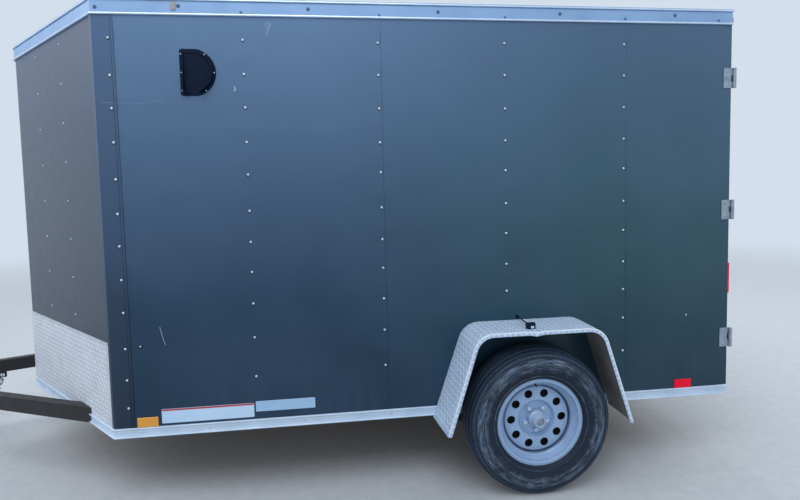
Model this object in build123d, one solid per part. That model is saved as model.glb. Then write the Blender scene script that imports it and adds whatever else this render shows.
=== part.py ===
from build123d import *
import math
import os

# Enclosed cargo trailer with a V-shaped nose and one axle, parked on its tongue jack.
# +X points forward to the coupler, +Y to the road side, +Z up. The origin lies on the ground,
# in the middle of the trailer's length and width. All sizes are in millimetres.

# Body
box_length = 3048.0            # side walls, from the rear face to the front corner
box_width = 1829.0
body_bottom = 330.0            # underside of the floor frame above the ground
roof_top = 2301.0
roof_thickness = 20.0
wall_thickness = 38.0          # skin, post and lining together
skin_lip = 3.0                 # skin that laps down over the side rails
nose_angle = 48.5              # each nose panel, from the trailer's centre line
nose_radius = 90.0             # outside radius of the nose's tip

# Floor frame and roof bows
frame_depth = 76.0
rail_width = 50.0
crossmember_pitch = 406.4
deck_thickness = 19.0
bow_pitch = 609.6
bow_depth = 38.0
bow_width = 25.0

# Tongue and coupler
tongue_reach = 900.0           # from the tip of the nose to the front of the coupler
tongue_angle = 25.0
tongue_width = 50.0
ball_radius = 25.4
socket_clearance = 0.4
coupler_wall = 5.0
ball_drop = 17.0               # ball's centre below the top of the tongue
neck_length = 120.0
neck_width = 74.0
coupler_skirt = 56.0
coupler_wing = 200.0           # how far the coupler reaches back along each tube
latch_pin_radius = 4.0
latch_pin_setback = 60.0
latch_width = 28.0
latch_height = 16.0
lever_length = 100.0
lever_thickness = 8.0

# Jack
jack_setback = 235.0           # jack's axis behind the ball
jack_tube_radius = 28.5
jack_leg_radius = 25.0
jack_clearance = 0.3
jack_leg_wall = 4.0
jack_tube_bottom = 190.0
jack_tube_top = 700.0
jack_leg_top = 500.0
jack_flange_radius = 62.0
jack_flange_thickness = 8.0
jack_cap_radius = 36.0
jack_cap_height = 34.0
crank_reach = 180.0
crank_radius = 9.0
crank_grip_length = 95.0
foot_side = 130.0
foot_thickness = 6.0

# Safety chains
chain_setback = 380.0          # front tab along the tongue tube, from the ball
chain_span = 200.0             # between a chain's two tabs
chain_links = 13
link_wire = 8.0
link_inside_length = 32.0
link_inside_width = 13.0
link_corner = 0.29             # cut at each corner, as a share of the width
link_play = 0.6
tab_drop = 40.0
tab_width = 46.0
tab_thickness = 8.0
tab_hole_radius = 11.5
tab_rim = 4.5                  # below the hole

# Running gear
axle_setback = 1945.0          # behind the front corner
tyre_radius = 343.0
tyre_width = 205.0
tyre_gap = 25.5                # between the tyre and the wall
tyre_section = (               # inset from the tyre's side, depth below its tread
    (34.0, 152.0), (28.0, 141.0), (5.0, 116.0), (3.0, 104.0),
    (0.0, 70.0), (8.0, 31.0), (27.0, 7.0), (62.0, 0.0))
rim_radius = 208.0
rim_width = 151.0
rim_edge = 5.0
rim_section = (                # inset from the rim's edge, depth below its flange
    (0.0, 0.0), (0.0, 18.0), (18.0, 25.0), (45.0, 42.0))
bead_depth = 17.0
disc_dish = 27.0               # hand-hole ring, outside the middle of the tyre
disc_sheet = 6.0
hub_pad_radius = 78.0
hub_bore_radius = 40.0
hub_back = 90.0                # hub's inner end inside the middle of the tyre
hub_flange = 12.0
lug_circle = 114.3
lug_count = 5
lug_radius = 6.0
nut_width = 19.0
nut_height = 22.0
hand_hole_count = 10
hand_hole_circle = 248.0
hand_hole_radius = 20.0
cap_reach = 78.0               # grease cap's end outside the middle of the tyre
cap_radius = 24.0
cap_length = 38.0
cap_mouth = 26.0               # depth of the open end
cap_wall = 4.0
spindle_radius = 17.0
spindle_clearance = 0.05
axle_tube_radius = 30.0
axle_drop = 102.0
spindle_arm = 14.0             # thickness of the plate between the tube and the spindle
arm_gap = 15.0                 # between that plate and the tyre
spring_length = 660.0
spring_width = 45.0
leaf_thickness = 8.0
leaf_count = 3
leaf_step = 0.24               # each leaf is shorter by this share of the longest
seat_thickness = 6.0
seat_length = 90.0
eye_radius = 16.0
hanger_sheet = 5.0
hanger_length = 44.0
hanger_bolt_radius = 7.0
hanger_clearance = 0.3
u_bolt_radius = 6.0
u_bolt_spacing = 60.0
tie_plate_thickness = 8.0

# Fenders
fender_overhang = 9.5          # beyond the tyre's outer side
fender_clearance = 95.0        # over the tyre
fender_sheet = 3.0
fender_lip = 18.0
fender_wall_flange = 28.0
fender_top_length = 597.0       # from corner to corner, before the bends
fender_foot_length = 892.0
fender_foot_height = 321.0
fender_bend = 100.0
fender_spare = 60.0            # length below the foot that is cut away

# Trim
bottom_trim_height = 46.0
top_rail_height = 72.0
trim_proud = 5.0
bead_proud = 8.0
bead_height = 8.0
groove_height = 4.0
groove_proud = 3.0
roof_cap_lap = 16.0
roof_cap_thickness = 3.0
corner_flange = 88.0
corner_return = 20.0
corner_proud = 3.0
corner_bead = 9.0
stone_guard_height = 395.0
stone_guard_sheet = 2.5
guard_cap_height = 12.0
guard_cap_proud = 5.0

# Rear frame and doors
post_width = 75.0
post_depth = 50.0
rear_header = 111.0
door_thickness = 38.0
door_proud = 6.0
door_gap = 5.0
door_meeting_gap = 8.0
door_border = 45.0
door_recess = 3.0
hinge_pin_radius = 4.0
hinge_knuckle_radius = 8.0
hinge_height = 100.0
hinge_inset = 200.0            # top and bottom hinges from the door's ends
hinge_clearance = 0.05
pin_stand_off = 10.0           # rear hinge pins outside the side walls
pin_relief = 1.0               # between a moving knuckle and the face behind it
strap_thickness = 5.0
strap_length = 190.0
leaf_length = 45.0
bar_radius = 13.0
bar_inset = 150.0              # from the door's free edge
guide_thickness = 8.0
guide_half_width = 40.0
guide_half_height = 22.0
cam_reach = 35.0               # cam's middle beyond the opening's edge
cam_height = 26.0
cam_length = 30.0
cam_half_depth = 9.0
keeper_ear = 6.0
keeper_plate = 4.0
handle_height = 760.0          # above the door's lower edge
handle_length = 260.0
handle_depth = 10.0
handle_width = 28.0
guide_spacing = 280.0          # between the two guides beside the handle

# Side door
side_door_setback = 218.0      # opening's front edge behind the front corner
side_door_width = 813.0
side_door_sill = 15.0          # opening's lower edge above the floor
side_door_header = 141.0       # opening's upper edge below the roof
side_door_corner = 50.0
side_frame_width = 32.0
side_frame_proud = 3.0
door_step = 0.5                # door's face proud of its frame
side_leaf = 3.0
side_leaf_length = 26.0
side_strap_length = 60.0
latch_plate_width = 80.0
latch_plate_height = 120.0
latch_plate_thickness = 12.0
latch_inset = 30.0
pull_reach = 40.0
pull_inset = 15.0
pull_neck = 30.0
pull_thickness = 16.0
pull_length = 185.0
pull_height = 25.0

# Vents, reflectors and lamps
vent_width = 156.0
vent_height = 207.0
vent_flange = 4.0
vent_border = 14.0
vent_corner = 12.0
vent_depth = 34.0
vent_top_depth = 7.0
vent_wall = 3.0
vent_round = 0.78              # reach of the round end as a share of half the height
vent_mouth = 0.55              # width of the mouth as a share of the whole width
vent_below_roof = 320.0
vent_setback = 439.0           # vent's middle behind the front corner, or before the rear
reflector_length = 92.0
reflector_height = 45.0
reflector_thickness = 8.0
reflector_edge = 2.0
reflector_setback = 146.0      # middle of the reflector behind the front corner
red_reflector_setback = 251.0  # middle of the reflector before the rear face
lamp_length = 64.0
lamp_height = 22.0
lamp_depth = 16.0
lamp_below_roof = 45.0
lamp_spacing = 152.0
lamp_edge = 4.0
tail_lamp_width = 56.0
tail_lamp_height = 160.0
tail_lamp_depth = 22.0
tail_lamp_bottom = 860.0
fender_lamp_length = 40.0
fender_lamp_width = 26.0
fender_lamp_height = 27.0
fender_lamp_inset = 40.0       # from the fender's outer edge
fender_lamp_forward = 37.0     # before the axle
lead_radius = 3.0
grommet_radius = 9.0
grommet_rise = 14.0            # above the fender's top

# Places that follow from the sizes above
half_width = box_width / 2
nose_slope = math.radians(nose_angle)
tongue_slope = math.radians(tongue_angle)
nose_centre = (half_width * math.cos(nose_slope) - nose_radius) / math.sin(nose_slope)
nose_length = nose_centre + nose_radius
rear_hardware = door_proud + guide_thickness + 2 * bar_radius + handle_depth
overall_length = rear_hardware + box_length + nose_length + tongue_reach
x_rear = -overall_length / 2 + rear_hardware
x_corner = x_rear + box_length
x_front = overall_length / 2
x_ball = x_front - ball_radius - socket_clearance - coupler_wall
x_jack = x_ball - jack_setback
x_axle = x_corner - axle_setback
frame_top = body_bottom + frame_depth
floor_top = frame_top + deck_thickness
roof_bottom = roof_top - roof_thickness
trim_top = body_bottom + bottom_trim_height
rail_bottom = roof_top - top_rail_height
wall_inner = half_width - wall_thickness
rail_outer = half_width - skin_lip
post_inner = half_width - post_width
rear_top = roof_bottom - rear_header
wheel_plane = half_width + tyre_gap + tyre_width / 2
fender_width = tyre_gap + tyre_width + fender_overhang
fender_top = 2 * tyre_radius + fender_clearance + fender_sheet
spring_line = rail_outer - rail_width / 2
tube_height = tyre_radius - axle_drop
below_ground = -10.0
above_roof = roof_top + 10.0


def slab(x_range, y_range, z_range):
    """Rectangular block between two limits along each axis."""
    size = [high - low for low, high in (x_range, y_range, z_range)]
    middle = [(high + low) / 2 for low, high in (x_range, y_range, z_range)]
    return Pos(*middle) * Box(*size)


def block_at(centre, size):
    """Rectangular block round a middle point."""
    return Pos(*centre) * Box(*size)


def upright(points, z_range):
    """Prism that stands on an outline given as points in plan."""
    outline = make_face(Polyline(*points, close=True))
    return Pos(0, 0, z_range[0]) * extrude(outline, z_range[1] - z_range[0], dir=(0, 0, 1))


def post_cylinder(x, y, z_range, radius):
    """Cylinder with an upright axis."""
    height = z_range[1] - z_range[0]
    return Pos(x, y, (z_range[0] + z_range[1]) / 2) * Cylinder(radius, height)


def cross_cylinder(x, z, y_range, radius):
    """Cylinder with its axis across the trailer."""
    length = y_range[1] - y_range[0]
    return Pos(x, (y_range[0] + y_range[1]) / 2, z) * Rot(90, 0, 0) * Cylinder(radius, length)


def mirrored(shape):
    """The kerb-side copy of a road-side piece."""
    return mirror(shape, about=Plane.XZ)


def both_sides(*shapes):
    """Road-side pieces and their kerb-side copies."""
    return list(shapes) + [mirrored(shape) for shape in shapes]


def fused(shapes):
    """One solid made of pieces that are welded together."""
    whole = shapes[0]
    for shape in shapes[1:]:
        whole = whole + shape
    return whole


def save(node, *shapes):
    """Write one sub-part."""
    found = [solid for shape in shapes for solid in shape.solids()]
    export_step(found[0] if len(found) == 1 else Compound(found), "parts/" + node + ".step")


def save_pair(node, shape):
    """Write a road-side sub-part and its kerb-side copy."""
    save(node + "_left", shape)
    save(node + "_right", mirrored(shape))


def body_outline(offset, x_back):
    """Outline of the box and nose in plan, inside the outer faces by offset."""
    side = half_width - offset
    corner_x = x_corner - offset * math.tan(nose_slope / 2)
    radius = nose_radius - offset
    centre = x_corner + nose_centre
    bend = (centre + radius * math.sin(nose_slope), radius * math.cos(nose_slope))
    far_bend = (bend[0], -bend[1])
    left = Polyline((x_back, side), (corner_x, side), bend)
    tip = ThreePointArc(bend, (centre + radius, 0), far_bend)
    right = Polyline(far_bend, (corner_x, -side), (x_back, -side), (x_back, side))
    return make_face([left, tip, right])


def body_prism(offset, x_back, z_range):
    """Solid that fills the body's outline between two heights."""
    face = body_outline(offset, x_back)
    return Pos(0, 0, z_range[0]) * extrude(face, z_range[1] - z_range[0], dir=(0, 0, 1))


def body_band(proud, x_back, z_range, lap=0.0):
    """Strip that runs round the body, proud of its skin and lapping inwards."""
    return body_prism(-proud, x_back, z_range) - body_prism(lap, x_back - 1.0, z_range)


def nose_zone(y_range=(-box_width, box_width)):
    """Everything in front of the front corner."""
    return slab((x_corner, x_front), y_range, (below_ground, above_roof))


def nose_point(offset, distance):
    """Point in plan along the road-side nose panel, inside its face by offset."""
    x = x_corner + distance * math.cos(nose_slope) - offset * math.sin(nose_slope)
    y = half_width - distance * math.sin(nose_slope) - offset * math.cos(nose_slope)
    return (x, y)


def corner_wedge(distance, z_range):
    """Wedge that holds the first stretch of the road-side nose panel."""
    depth = wall_thickness
    near = [(x_corner, half_width - 2 * depth), nose_point(2 * depth, distance)]
    far = [nose_point(-2 * depth, distance), (x_corner, half_width + 2 * depth)]
    return upright(near + far, z_range)


def tongue_point(distance, side, lateral=0.0):
    """Point in plan along a tongue tube, behind the ball and off its middle line."""
    x = x_ball - distance * math.cos(tongue_slope) - lateral * math.sin(tongue_slope)
    y = distance * math.sin(tongue_slope) - lateral * math.cos(tongue_slope)
    return (x, side * y)


def tongue_strip(side, along, across, z_range):
    """Prism along a tongue tube, between two distances and two offsets."""
    corners = [(along[0], across[0]), (along[1], across[0]), (along[1], across[1])]
    corners.append((along[0], across[1]))
    return upright([tongue_point(a, side, b) for a, b in corners], z_range)


def tongue_tubes(z_range):
    """The two tubes of the A-frame, from the front crossmember to the coupler."""
    front = neck_length / math.cos(tongue_slope)
    back = (x_ball - x_corner) / math.cos(tongue_slope) + tongue_width
    half = tongue_width / 2
    tubes = [tongue_strip(side, (front, back), (half, -half), z_range) for side in (1, -1)]
    return [tube & nose_zone() for tube in tubes]


def build_frame():
    """Side rails, crossmembers, nose frame, tongue and floor."""
    z_range = (body_bottom, frame_top)
    inner = rail_outer - rail_width
    x_first = x_rear + post_depth
    save("side_rails", *both_sides(slab((x_first, x_corner), (inner, rail_outer), z_range)))
    x_last = x_corner - rail_width
    count = int((x_last - x_first - rail_width) // crossmember_pitch)
    starts = [x_first + crossmember_pitch * (k + 1) for k in range(count)] + [x_last]
    starts = [x for x in starts if x == x_last or x + 2 * rail_width < x_last]
    save("crossmembers", *[slab((x, x + rail_width), (-inner, inner), z_range) for x in starts])
    tubes = tongue_tubes(z_range)
    save("tongue_tubes", *tubes)
    ring = body_prism(skin_lip, x_last, z_range)
    ring -= body_prism(skin_lip + rail_width, x_last - 1.0, z_range)
    save("nose_frame", (ring & nose_zone()) - fused(tubes))
    deck = body_prism(wall_thickness, x_first, (frame_top, floor_top))
    save("floor_deck", deck)


def build_walls():
    """Side walls, the nose's two panels and the rounded cap at its tip."""
    x_range = (x_rear + post_depth, x_corner)
    wall = slab(x_range, (wall_inner, half_width), (frame_top, roof_bottom))
    wall += slab(x_range, (rail_outer, half_width), (body_bottom, frame_top))
    save("wall_left", wall)
    save("wall_right", mirrored(wall) - side_door_blank(0.0, 2 * wall_thickness))
    x_start = x_corner - 2 * wall_thickness
    upper = body_prism(0.0, x_start, (frame_top, roof_bottom))
    upper -= body_prism(wall_thickness, x_start, (frame_top, roof_bottom))
    lower = body_prism(0.0, x_start, (body_bottom, frame_top))
    lower -= body_prism(skin_lip, x_start, (body_bottom, frame_top))
    shell = ((upper + lower) & nose_zone()) - fused(tongue_tubes((body_bottom, frame_top)))
    wedge = tip_wedge()
    save("nose_cap", shell & wedge)
    save_pair("nose_panel", (shell - wedge) & nose_zone((0.0, box_width)))


def tip_wedge():
    """Wedge from the tip's centre that holds the rounded end of the nose."""
    centre = x_corner + nose_centre
    reach = 3 * nose_radius
    side = (centre + reach * math.sin(nose_slope), reach * math.cos(nose_slope))
    points = [(centre, 0.0), side, (side[0] + reach, side[1])]
    points += [(x, -y) for x, y in (points[2], points[1])]
    return upright(points, (body_bottom, roof_bottom))


def side_door_blank(grow, depth):
    """Block as large as the side door's opening, larger all round by grow."""
    front = x_corner - side_door_setback
    x_range = (front - side_door_width - grow, front + grow)
    y_range = (-half_width - depth / 2, -half_width + depth / 2)
    z_range = (floor_top + side_door_sill - grow, roof_bottom - side_door_header + grow)
    block = slab(x_range, y_range, z_range)
    return fillet(block.edges().filter_by(Axis.Y), side_door_corner + grow)


def build_roof():
    """Roof over the box and nose, and the bows that carry it."""
    save("roof", body_prism(0.0, x_rear, (roof_bottom, roof_top)))
    z_range = (roof_bottom - bow_depth, roof_bottom)
    x_first = x_rear + post_depth + bow_pitch
    count = int((x_corner - x_first - bow_width) // bow_pitch) + 1
    starts = [x_first + bow_pitch * k for k in range(count)]
    y_range = (-wall_inner, wall_inner)
    save("roof_bows", *[slab((x, x + bow_width), y_range, z_range) for x in starts])


def build_trims():
    """Extruded rails along roof and floor, corner trims and the stone guard."""
    z = rail_bottom
    middle = roof_top - 3 * groove_height
    bands = [(bead_proud, (z, z + 2 * bead_height), 0.0),
             (trim_proud, (z + 2 * bead_height, middle), 0.0),
             (groove_proud, (middle, middle + groove_height), 0.0),
             (bead_proud, (middle + groove_height, roof_top), 0.0),
             (bead_proud, (roof_top, roof_top + roof_cap_thickness), roof_cap_lap)]
    rail = fused([body_band(proud, x_rear, z_range, lap) for proud, z_range, lap in bands])
    y_range = (-half_width - bead_proud, half_width + bead_proud)
    z_range = (middle + groove_height, roof_top + roof_cap_thickness)
    rail += slab((x_rear - trim_proud, x_rear), y_range, z_range)
    save("top_rail", rail)
    z = body_bottom
    groove = z + (bottom_trim_height - groove_height) / 2
    bands = [(bead_proud, (z, z + bead_height)),
             (trim_proud, (z + bead_height, groove)),
             (groove_proud, (groove, groove + groove_height)),
             (trim_proud, (groove + groove_height, trim_top - bead_height)),
             (bead_proud, (trim_top - bead_height, trim_top))]
    trim = fused([body_band(proud, x_rear, z_range) for proud, z_range in bands])
    notches = fused(tongue_tubes((body_bottom, frame_top)))
    save("bottom_trims", trim - notches)
    z_range = (trim_top, rail_bottom)
    flange = body_band(corner_proud, x_corner - corner_flange, z_range)
    turn = flange & corner_wedge(corner_return, z_range)
    side = slab((x_corner - corner_flange, x_corner), (0.0, box_width), z_range)
    bead_x = x_corner - corner_flange
    bead_y = (half_width + corner_proud, half_width + 1.5 * corner_proud)
    bead = slab((bead_x, bead_x + corner_bead), bead_y, z_range)
    save("corner_trims", *both_sides((flange & side) + turn + bead))
    guard_top = trim_top + stone_guard_height
    x_start = x_corner - wall_thickness
    guard = body_band(stone_guard_sheet, x_start, (trim_top, guard_top))
    cap_range = (guard_top - guard_cap_height, guard_top)
    guard += body_band(guard_cap_proud, x_start, cap_range)
    wedge = corner_wedge(corner_return, (body_bottom, roof_top))
    save("stone_guard", (guard & nose_zone()) - wedge - mirrored(wedge) - notches)


def build_rear_frame():
    """Posts, header and sill round the rear doors."""
    x_range = (x_rear, x_rear + post_depth)
    post = slab(x_range, (post_inner, half_width), (body_bottom, roof_bottom))
    save("rear_posts", *both_sides(post))
    save("rear_header", slab(x_range, (-post_inner, post_inner), (rear_top, roof_bottom)))
    save("rear_sill", slab(x_range, (-post_inner, post_inner), (body_bottom, floor_top)))


def hinge(x, y, z, leaf, strap):
    """Upright hinge: the half on the frame, with its pin, and the half on the door.

    leaf and strap are the plan rectangles, as x and y ranges, of the two halves."""
    third = hinge_height / 3
    whole = (z - hinge_height / 2, z + hinge_height / 2)
    middle = (z - third / 2, z + third / 2)
    opened = (middle[0] - 0.5, middle[1] + 0.5)
    fixed = post_cylinder(x, y, whole, hinge_knuckle_radius) + slab(*leaf, whole)
    fixed -= post_cylinder(x, y, opened, 2 * hinge_knuckle_radius)
    fixed += post_cylinder(x, y, whole, hinge_pin_radius)
    moving = post_cylinder(x, y, middle, hinge_knuckle_radius) + slab(*strap, middle)
    moving -= post_cylinder(x, y, whole, hinge_pin_radius + hinge_clearance)
    return fixed, moving


def hinge_heights(z_range):
    """Heights of a door's three hinges."""
    low, high = z_range
    return [low + hinge_inset, (low + high) / 2, high - hinge_inset]


def build_rear_doors():
    """Two barn doors with strap hinges, cam bars and their keepers."""
    x_face = x_rear - door_proud
    free = door_meeting_gap / 2
    edge = post_inner - door_gap
    z_range = (floor_top + door_gap, rear_top - door_gap)
    panel = slab((x_face, x_face + door_thickness), (free, edge), z_range)
    field_y = (free + door_border, edge - door_border)
    field_z = (z_range[0] + door_border, z_range[1] - door_border)
    panel -= slab((x_face - 1.0, x_face + door_recess), field_y, field_z)
    save_pair("rear_door", panel)
    pin_x = x_face - 6.0
    pin_y = half_width + pin_stand_off
    leaf = ((pin_x, x_rear + leaf_length), (half_width, half_width + strap_thickness))
    strap = ((x_face - strap_thickness, x_face), (pin_y - strap_length, pin_y))
    pairs = [hinge(pin_x, pin_y, z, leaf, strap) for z in hinge_heights(z_range)]
    save("rear_hinge_leaves", *both_sides(*[fixed for fixed, moving in pairs]))
    lock = cam_bar(x_face, free + bar_inset, z_range)
    hardware = [moving for fixed, moving in pairs] + [lock]
    save("rear_hardware_left", *hardware)
    save("rear_hardware_right", *[mirrored(piece) for piece in hardware])
    save("rear_keepers", *both_sides(*cam_keepers(free + bar_inset)))


def cam_bar(x_face, y, z_range):
    """Cam bar with its guides, its handle and the cams at its ends."""
    x_bar = x_face - guide_thickness - bar_radius
    low = floor_top - cam_reach - cam_height / 2
    high = rear_top + cam_reach + cam_height / 2
    handle_z = z_range[0] + handle_height
    pieces = [post_cylinder(x_bar, y, (low, high), bar_radius)]
    inset = 2 * door_border
    near, far = handle_z - guide_spacing / 2, handle_z + guide_spacing / 2
    for z in (z_range[0] + inset, near, far, z_range[1] - inset):
        guide_y = (y - guide_half_width, y + guide_half_width)
        guide_z = (z - guide_half_height, z + guide_half_height)
        pieces.append(slab((x_bar, x_face + door_recess), guide_y, guide_z))
    for z in (low, high - cam_height):
        cam_x = (x_bar - cam_half_depth, x_bar + cam_half_depth)
        pieces.append(slab(cam_x, (y - cam_length, y), (z, z + cam_height)))
    handle_x = (x_bar - bar_radius - handle_depth, x_bar)
    half = handle_width / 2
    handle = slab(handle_x, (y - half, y + handle_length), (handle_z - half, handle_z + half))
    pieces.append(handle)
    return fused(pieces)


def cam_keepers(y):
    """Cam keepers on the sill and the header."""
    x_bar = x_rear - door_proud - guide_thickness - bar_radius
    middle = cam_height / 2 + door_gap + keeper_ear / 2
    half_plate = middle + keeper_ear / 2 + 3.0
    keepers = []
    for z in (floor_top - cam_reach, rear_top + cam_reach):
        plate_y = (y - 2 * cam_length, y + cam_length)
        keeper = slab((x_rear - keeper_plate, x_rear), plate_y, (z - half_plate, z + half_plate))
        for side in (-1, 1):
            ear = (z + side * middle - keeper_ear / 2, z + side * middle + keeper_ear / 2)
            keeper += slab((x_bar, x_rear), (y - 1.7 * cam_length, y - 0.6 * cam_length), ear)
        keepers.append(keeper)
    return keepers


def build_side_door():
    """Kerb-side door, its frame, hinges and latch."""
    y_face = -half_width - side_frame_proud
    y_door = y_face - door_step
    front = x_corner - side_door_setback
    z_range = (floor_top + side_door_sill, roof_bottom - side_door_header)
    frame = side_door_blank(side_frame_width, 2 * side_frame_proud)
    frame -= side_door_blank(0.0, 4 * side_frame_proud)
    outside = slab((x_rear, x_corner), (y_face, -half_width), (below_ground, above_roof))
    pin_x = front + 4.0
    pin_y = y_face - hinge_knuckle_radius - pin_relief
    leaf = ((pin_x, pin_x + side_leaf_length), (y_face - side_leaf, y_face))
    strap = ((front - side_strap_length, pin_x), (y_door - side_leaf, y_door))
    pairs = [hinge(pin_x, pin_y, z, leaf, strap) for z in hinge_heights(z_range)]
    save("side_door_frame", fused([frame & outside] + [fixed for fixed, moving in pairs]))
    inside = slab((x_rear, x_corner), (y_door, y_door + door_thickness), (below_ground, above_roof))
    save("side_door", side_door_blank(-door_gap, 4 * door_thickness) & inside)
    x_latch = front - side_door_width + latch_inset
    z_latch = (z_range[0] + z_range[1]) / 2
    plate = (x_latch, x_latch + latch_plate_width)
    plate_z = (z_latch - latch_plate_height / 2, z_latch + latch_plate_height / 2)
    latch = slab(plate, (y_door - latch_plate_thickness, y_door), plate_z)
    pull_z = (z_latch, z_latch + pull_height)
    x_pull = x_latch + pull_inset
    latch += slab((x_pull, x_pull + pull_neck), (y_door - pull_reach, y_door), pull_z)
    pull_y = (y_door - pull_reach, y_door - pull_reach + pull_thickness)
    latch += slab((x_pull, x_pull + pull_length), pull_y, pull_z)
    save("side_door_hardware", latch, *[moving for fixed, moving in pairs])


def fender_face(inset):
    """Side outline of the fender, inside its outer face by inset."""
    rise = fender_top - fender_foot_height
    run = (fender_foot_length - fender_top_length) / 2
    foot = fender_foot_length / 2 + fender_spare * run / rise
    low = fender_foot_height - fender_spare
    half = [(foot, low), (fender_top_length / 2, fender_top)]
    outline = [(-x, z) for x, z in half] + half[::-1]
    face = make_face(Polyline(*outline, close=True))
    face = fillet(face.vertices().sort_by(Axis.Y)[2:], fender_bend)
    return offset(face, -inset) if inset else face


def fender_ring(inset, y_range):
    """Folded strip that follows the fender's outline."""
    plane = Plane(origin=(x_axle, half_width + y_range[0], 0), x_dir=(-1, 0, 0), z_dir=(0, 1, 0))
    return extrude(plane * (fender_face(0.0) - fender_face(inset)), y_range[1] - y_range[0])


def build_fenders():
    """Tread-plate fenders with a folded outer lip and a flange on the wall."""
    fender = fender_ring(fender_sheet, (0.0, fender_width))
    fender += fender_ring(fender_lip, (fender_width - fender_sheet, fender_width))
    fender += fender_ring(fender_wall_flange, (0.0, fender_sheet))
    x_range = (x_axle - fender_foot_length, x_axle + fender_foot_length)
    fender -= slab(x_range, (0.0, box_width), (below_ground, fender_foot_height))
    fender -= slab(x_range, (0.0, half_width + bead_proud), (below_ground, trim_top))
    save_pair("fender", fender)


def build_axle():
    """Drop axle with its spindles, seats and U-bolts, leaf springs and hangers."""
    arm_inner = wheel_plane - tyre_width / 2 - arm_gap
    arm_outer = arm_inner + spindle_arm
    radius = axle_tube_radius
    beam = cross_cylinder(x_axle, tube_height, (-arm_inner, arm_inner), radius)
    arm = slab((x_axle - radius, x_axle + radius), (arm_inner, arm_outer), (tube_height, tyre_radius))
    arm += cross_cylinder(x_axle, tube_height, (arm_inner, arm_outer), radius)
    arm += cross_cylinder(x_axle, tyre_radius, (arm_inner, arm_outer), radius)
    arm += cross_cylinder(x_axle, tyre_radius, (arm_outer, wheel_plane + radius), spindle_radius)
    save("axle_beam", fused([beam] + both_sides(arm)))
    y_range = (spring_line - spring_width / 2, spring_line + spring_width / 2)
    z_seat = tube_height + radius + seat_thickness
    z_top = z_seat + leaf_count * leaf_thickness
    z_eye = z_top + 2.0
    hanger_reach = spring_width / 2 + hanger_clearance + hanger_sheet
    hanger_y = (spring_line - hanger_reach, spring_line + hanger_reach)
    leaves = []
    for k in range(leaf_count):
        half = spring_length / 2 * (1 - leaf_step * (leaf_count - 1 - k))
        z = z_seat + k * leaf_thickness
        leaves.append(slab((x_axle - half, x_axle + half), y_range, (z, z + leaf_thickness)))
    spring = fused(leaves)
    hangers = []
    for end in (-1, 1):
        x = x_axle + end * spring_length / 2
        spring += cross_cylinder(x, z_eye, y_range, eye_radius)
        spring -= cross_cylinder(x, z_eye, hanger_y, hanger_bolt_radius + hanger_clearance)
        hanger = cross_cylinder(x, z_eye, hanger_y, hanger_bolt_radius)
        ear_x = (x - hanger_length / 2, x + hanger_length / 2)
        for y in (hanger_y[0], hanger_y[1] - hanger_sheet):
            hanger += slab(ear_x, (y, y + hanger_sheet), (z_eye - eye_radius, body_bottom))
        hangers.append(hanger)
    save("leaf_springs", *both_sides(spring))
    save("spring_hangers", *both_sides(*hangers))
    half = seat_length / 2
    seat = slab((x_axle - half, x_axle + half), y_range, (tube_height, z_seat))
    seat -= cross_cylinder(x_axle, tube_height, (0.0, box_width), radius)
    save("axle_seats", *both_sides(seat))
    save("u_bolts", *both_sides(u_bolts(z_top)))


def u_bolts(z_top):
    """Two U-bolts round the axle's tube and the tie plate on the spring."""
    inner = axle_tube_radius
    outer = inner + 2 * u_bolt_radius
    half_plate = outer + 4.0
    plate_y = u_bolt_spacing / 2 + 1.3 * u_bolt_radius
    z_plate = z_top + tie_plate_thickness
    plate = slab((x_axle - half_plate, x_axle + half_plate),
                 (spring_line - plate_y, spring_line + plate_y), (z_top, z_plate))
    for side in (-1, 1):
        y = spring_line + side * u_bolt_spacing / 2
        y_range = (y - u_bolt_radius, y + u_bolt_radius)
        bend = cross_cylinder(x_axle, tube_height, y_range, outer)
        bend -= cross_cylinder(x_axle, tube_height, y_range, inner)
        bend -= slab((x_axle - outer, x_axle + outer), y_range, (tube_height, tube_height + outer))
        plate += bend
        for end in (-1, 1):
            x = x_axle + end * (inner + u_bolt_radius)
            plate += post_cylinder(x, y, (tube_height, z_plate + 2 * u_bolt_radius), u_bolt_radius)
    return plate


def turned(points):
    """Solid turned about the road-side wheel's axis, from (along, radius) points."""
    profile = make_face(Polyline(*[(radius, along) for along, radius in points], close=True))
    whole = revolve(profile, axis=Axis.Y)
    return Pos(x_axle, wheel_plane, tyre_radius) * whole


def wheel_ring(count, circle, start):
    """Places round the wheel, as x and z, on a circle of the given diameter."""
    angles = [math.radians(start + 360 / count * k) for k in range(count)]
    radius = circle / 2
    return [(x_axle + radius * math.sin(a), tyre_radius + radius * math.cos(a)) for a in angles]


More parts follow.
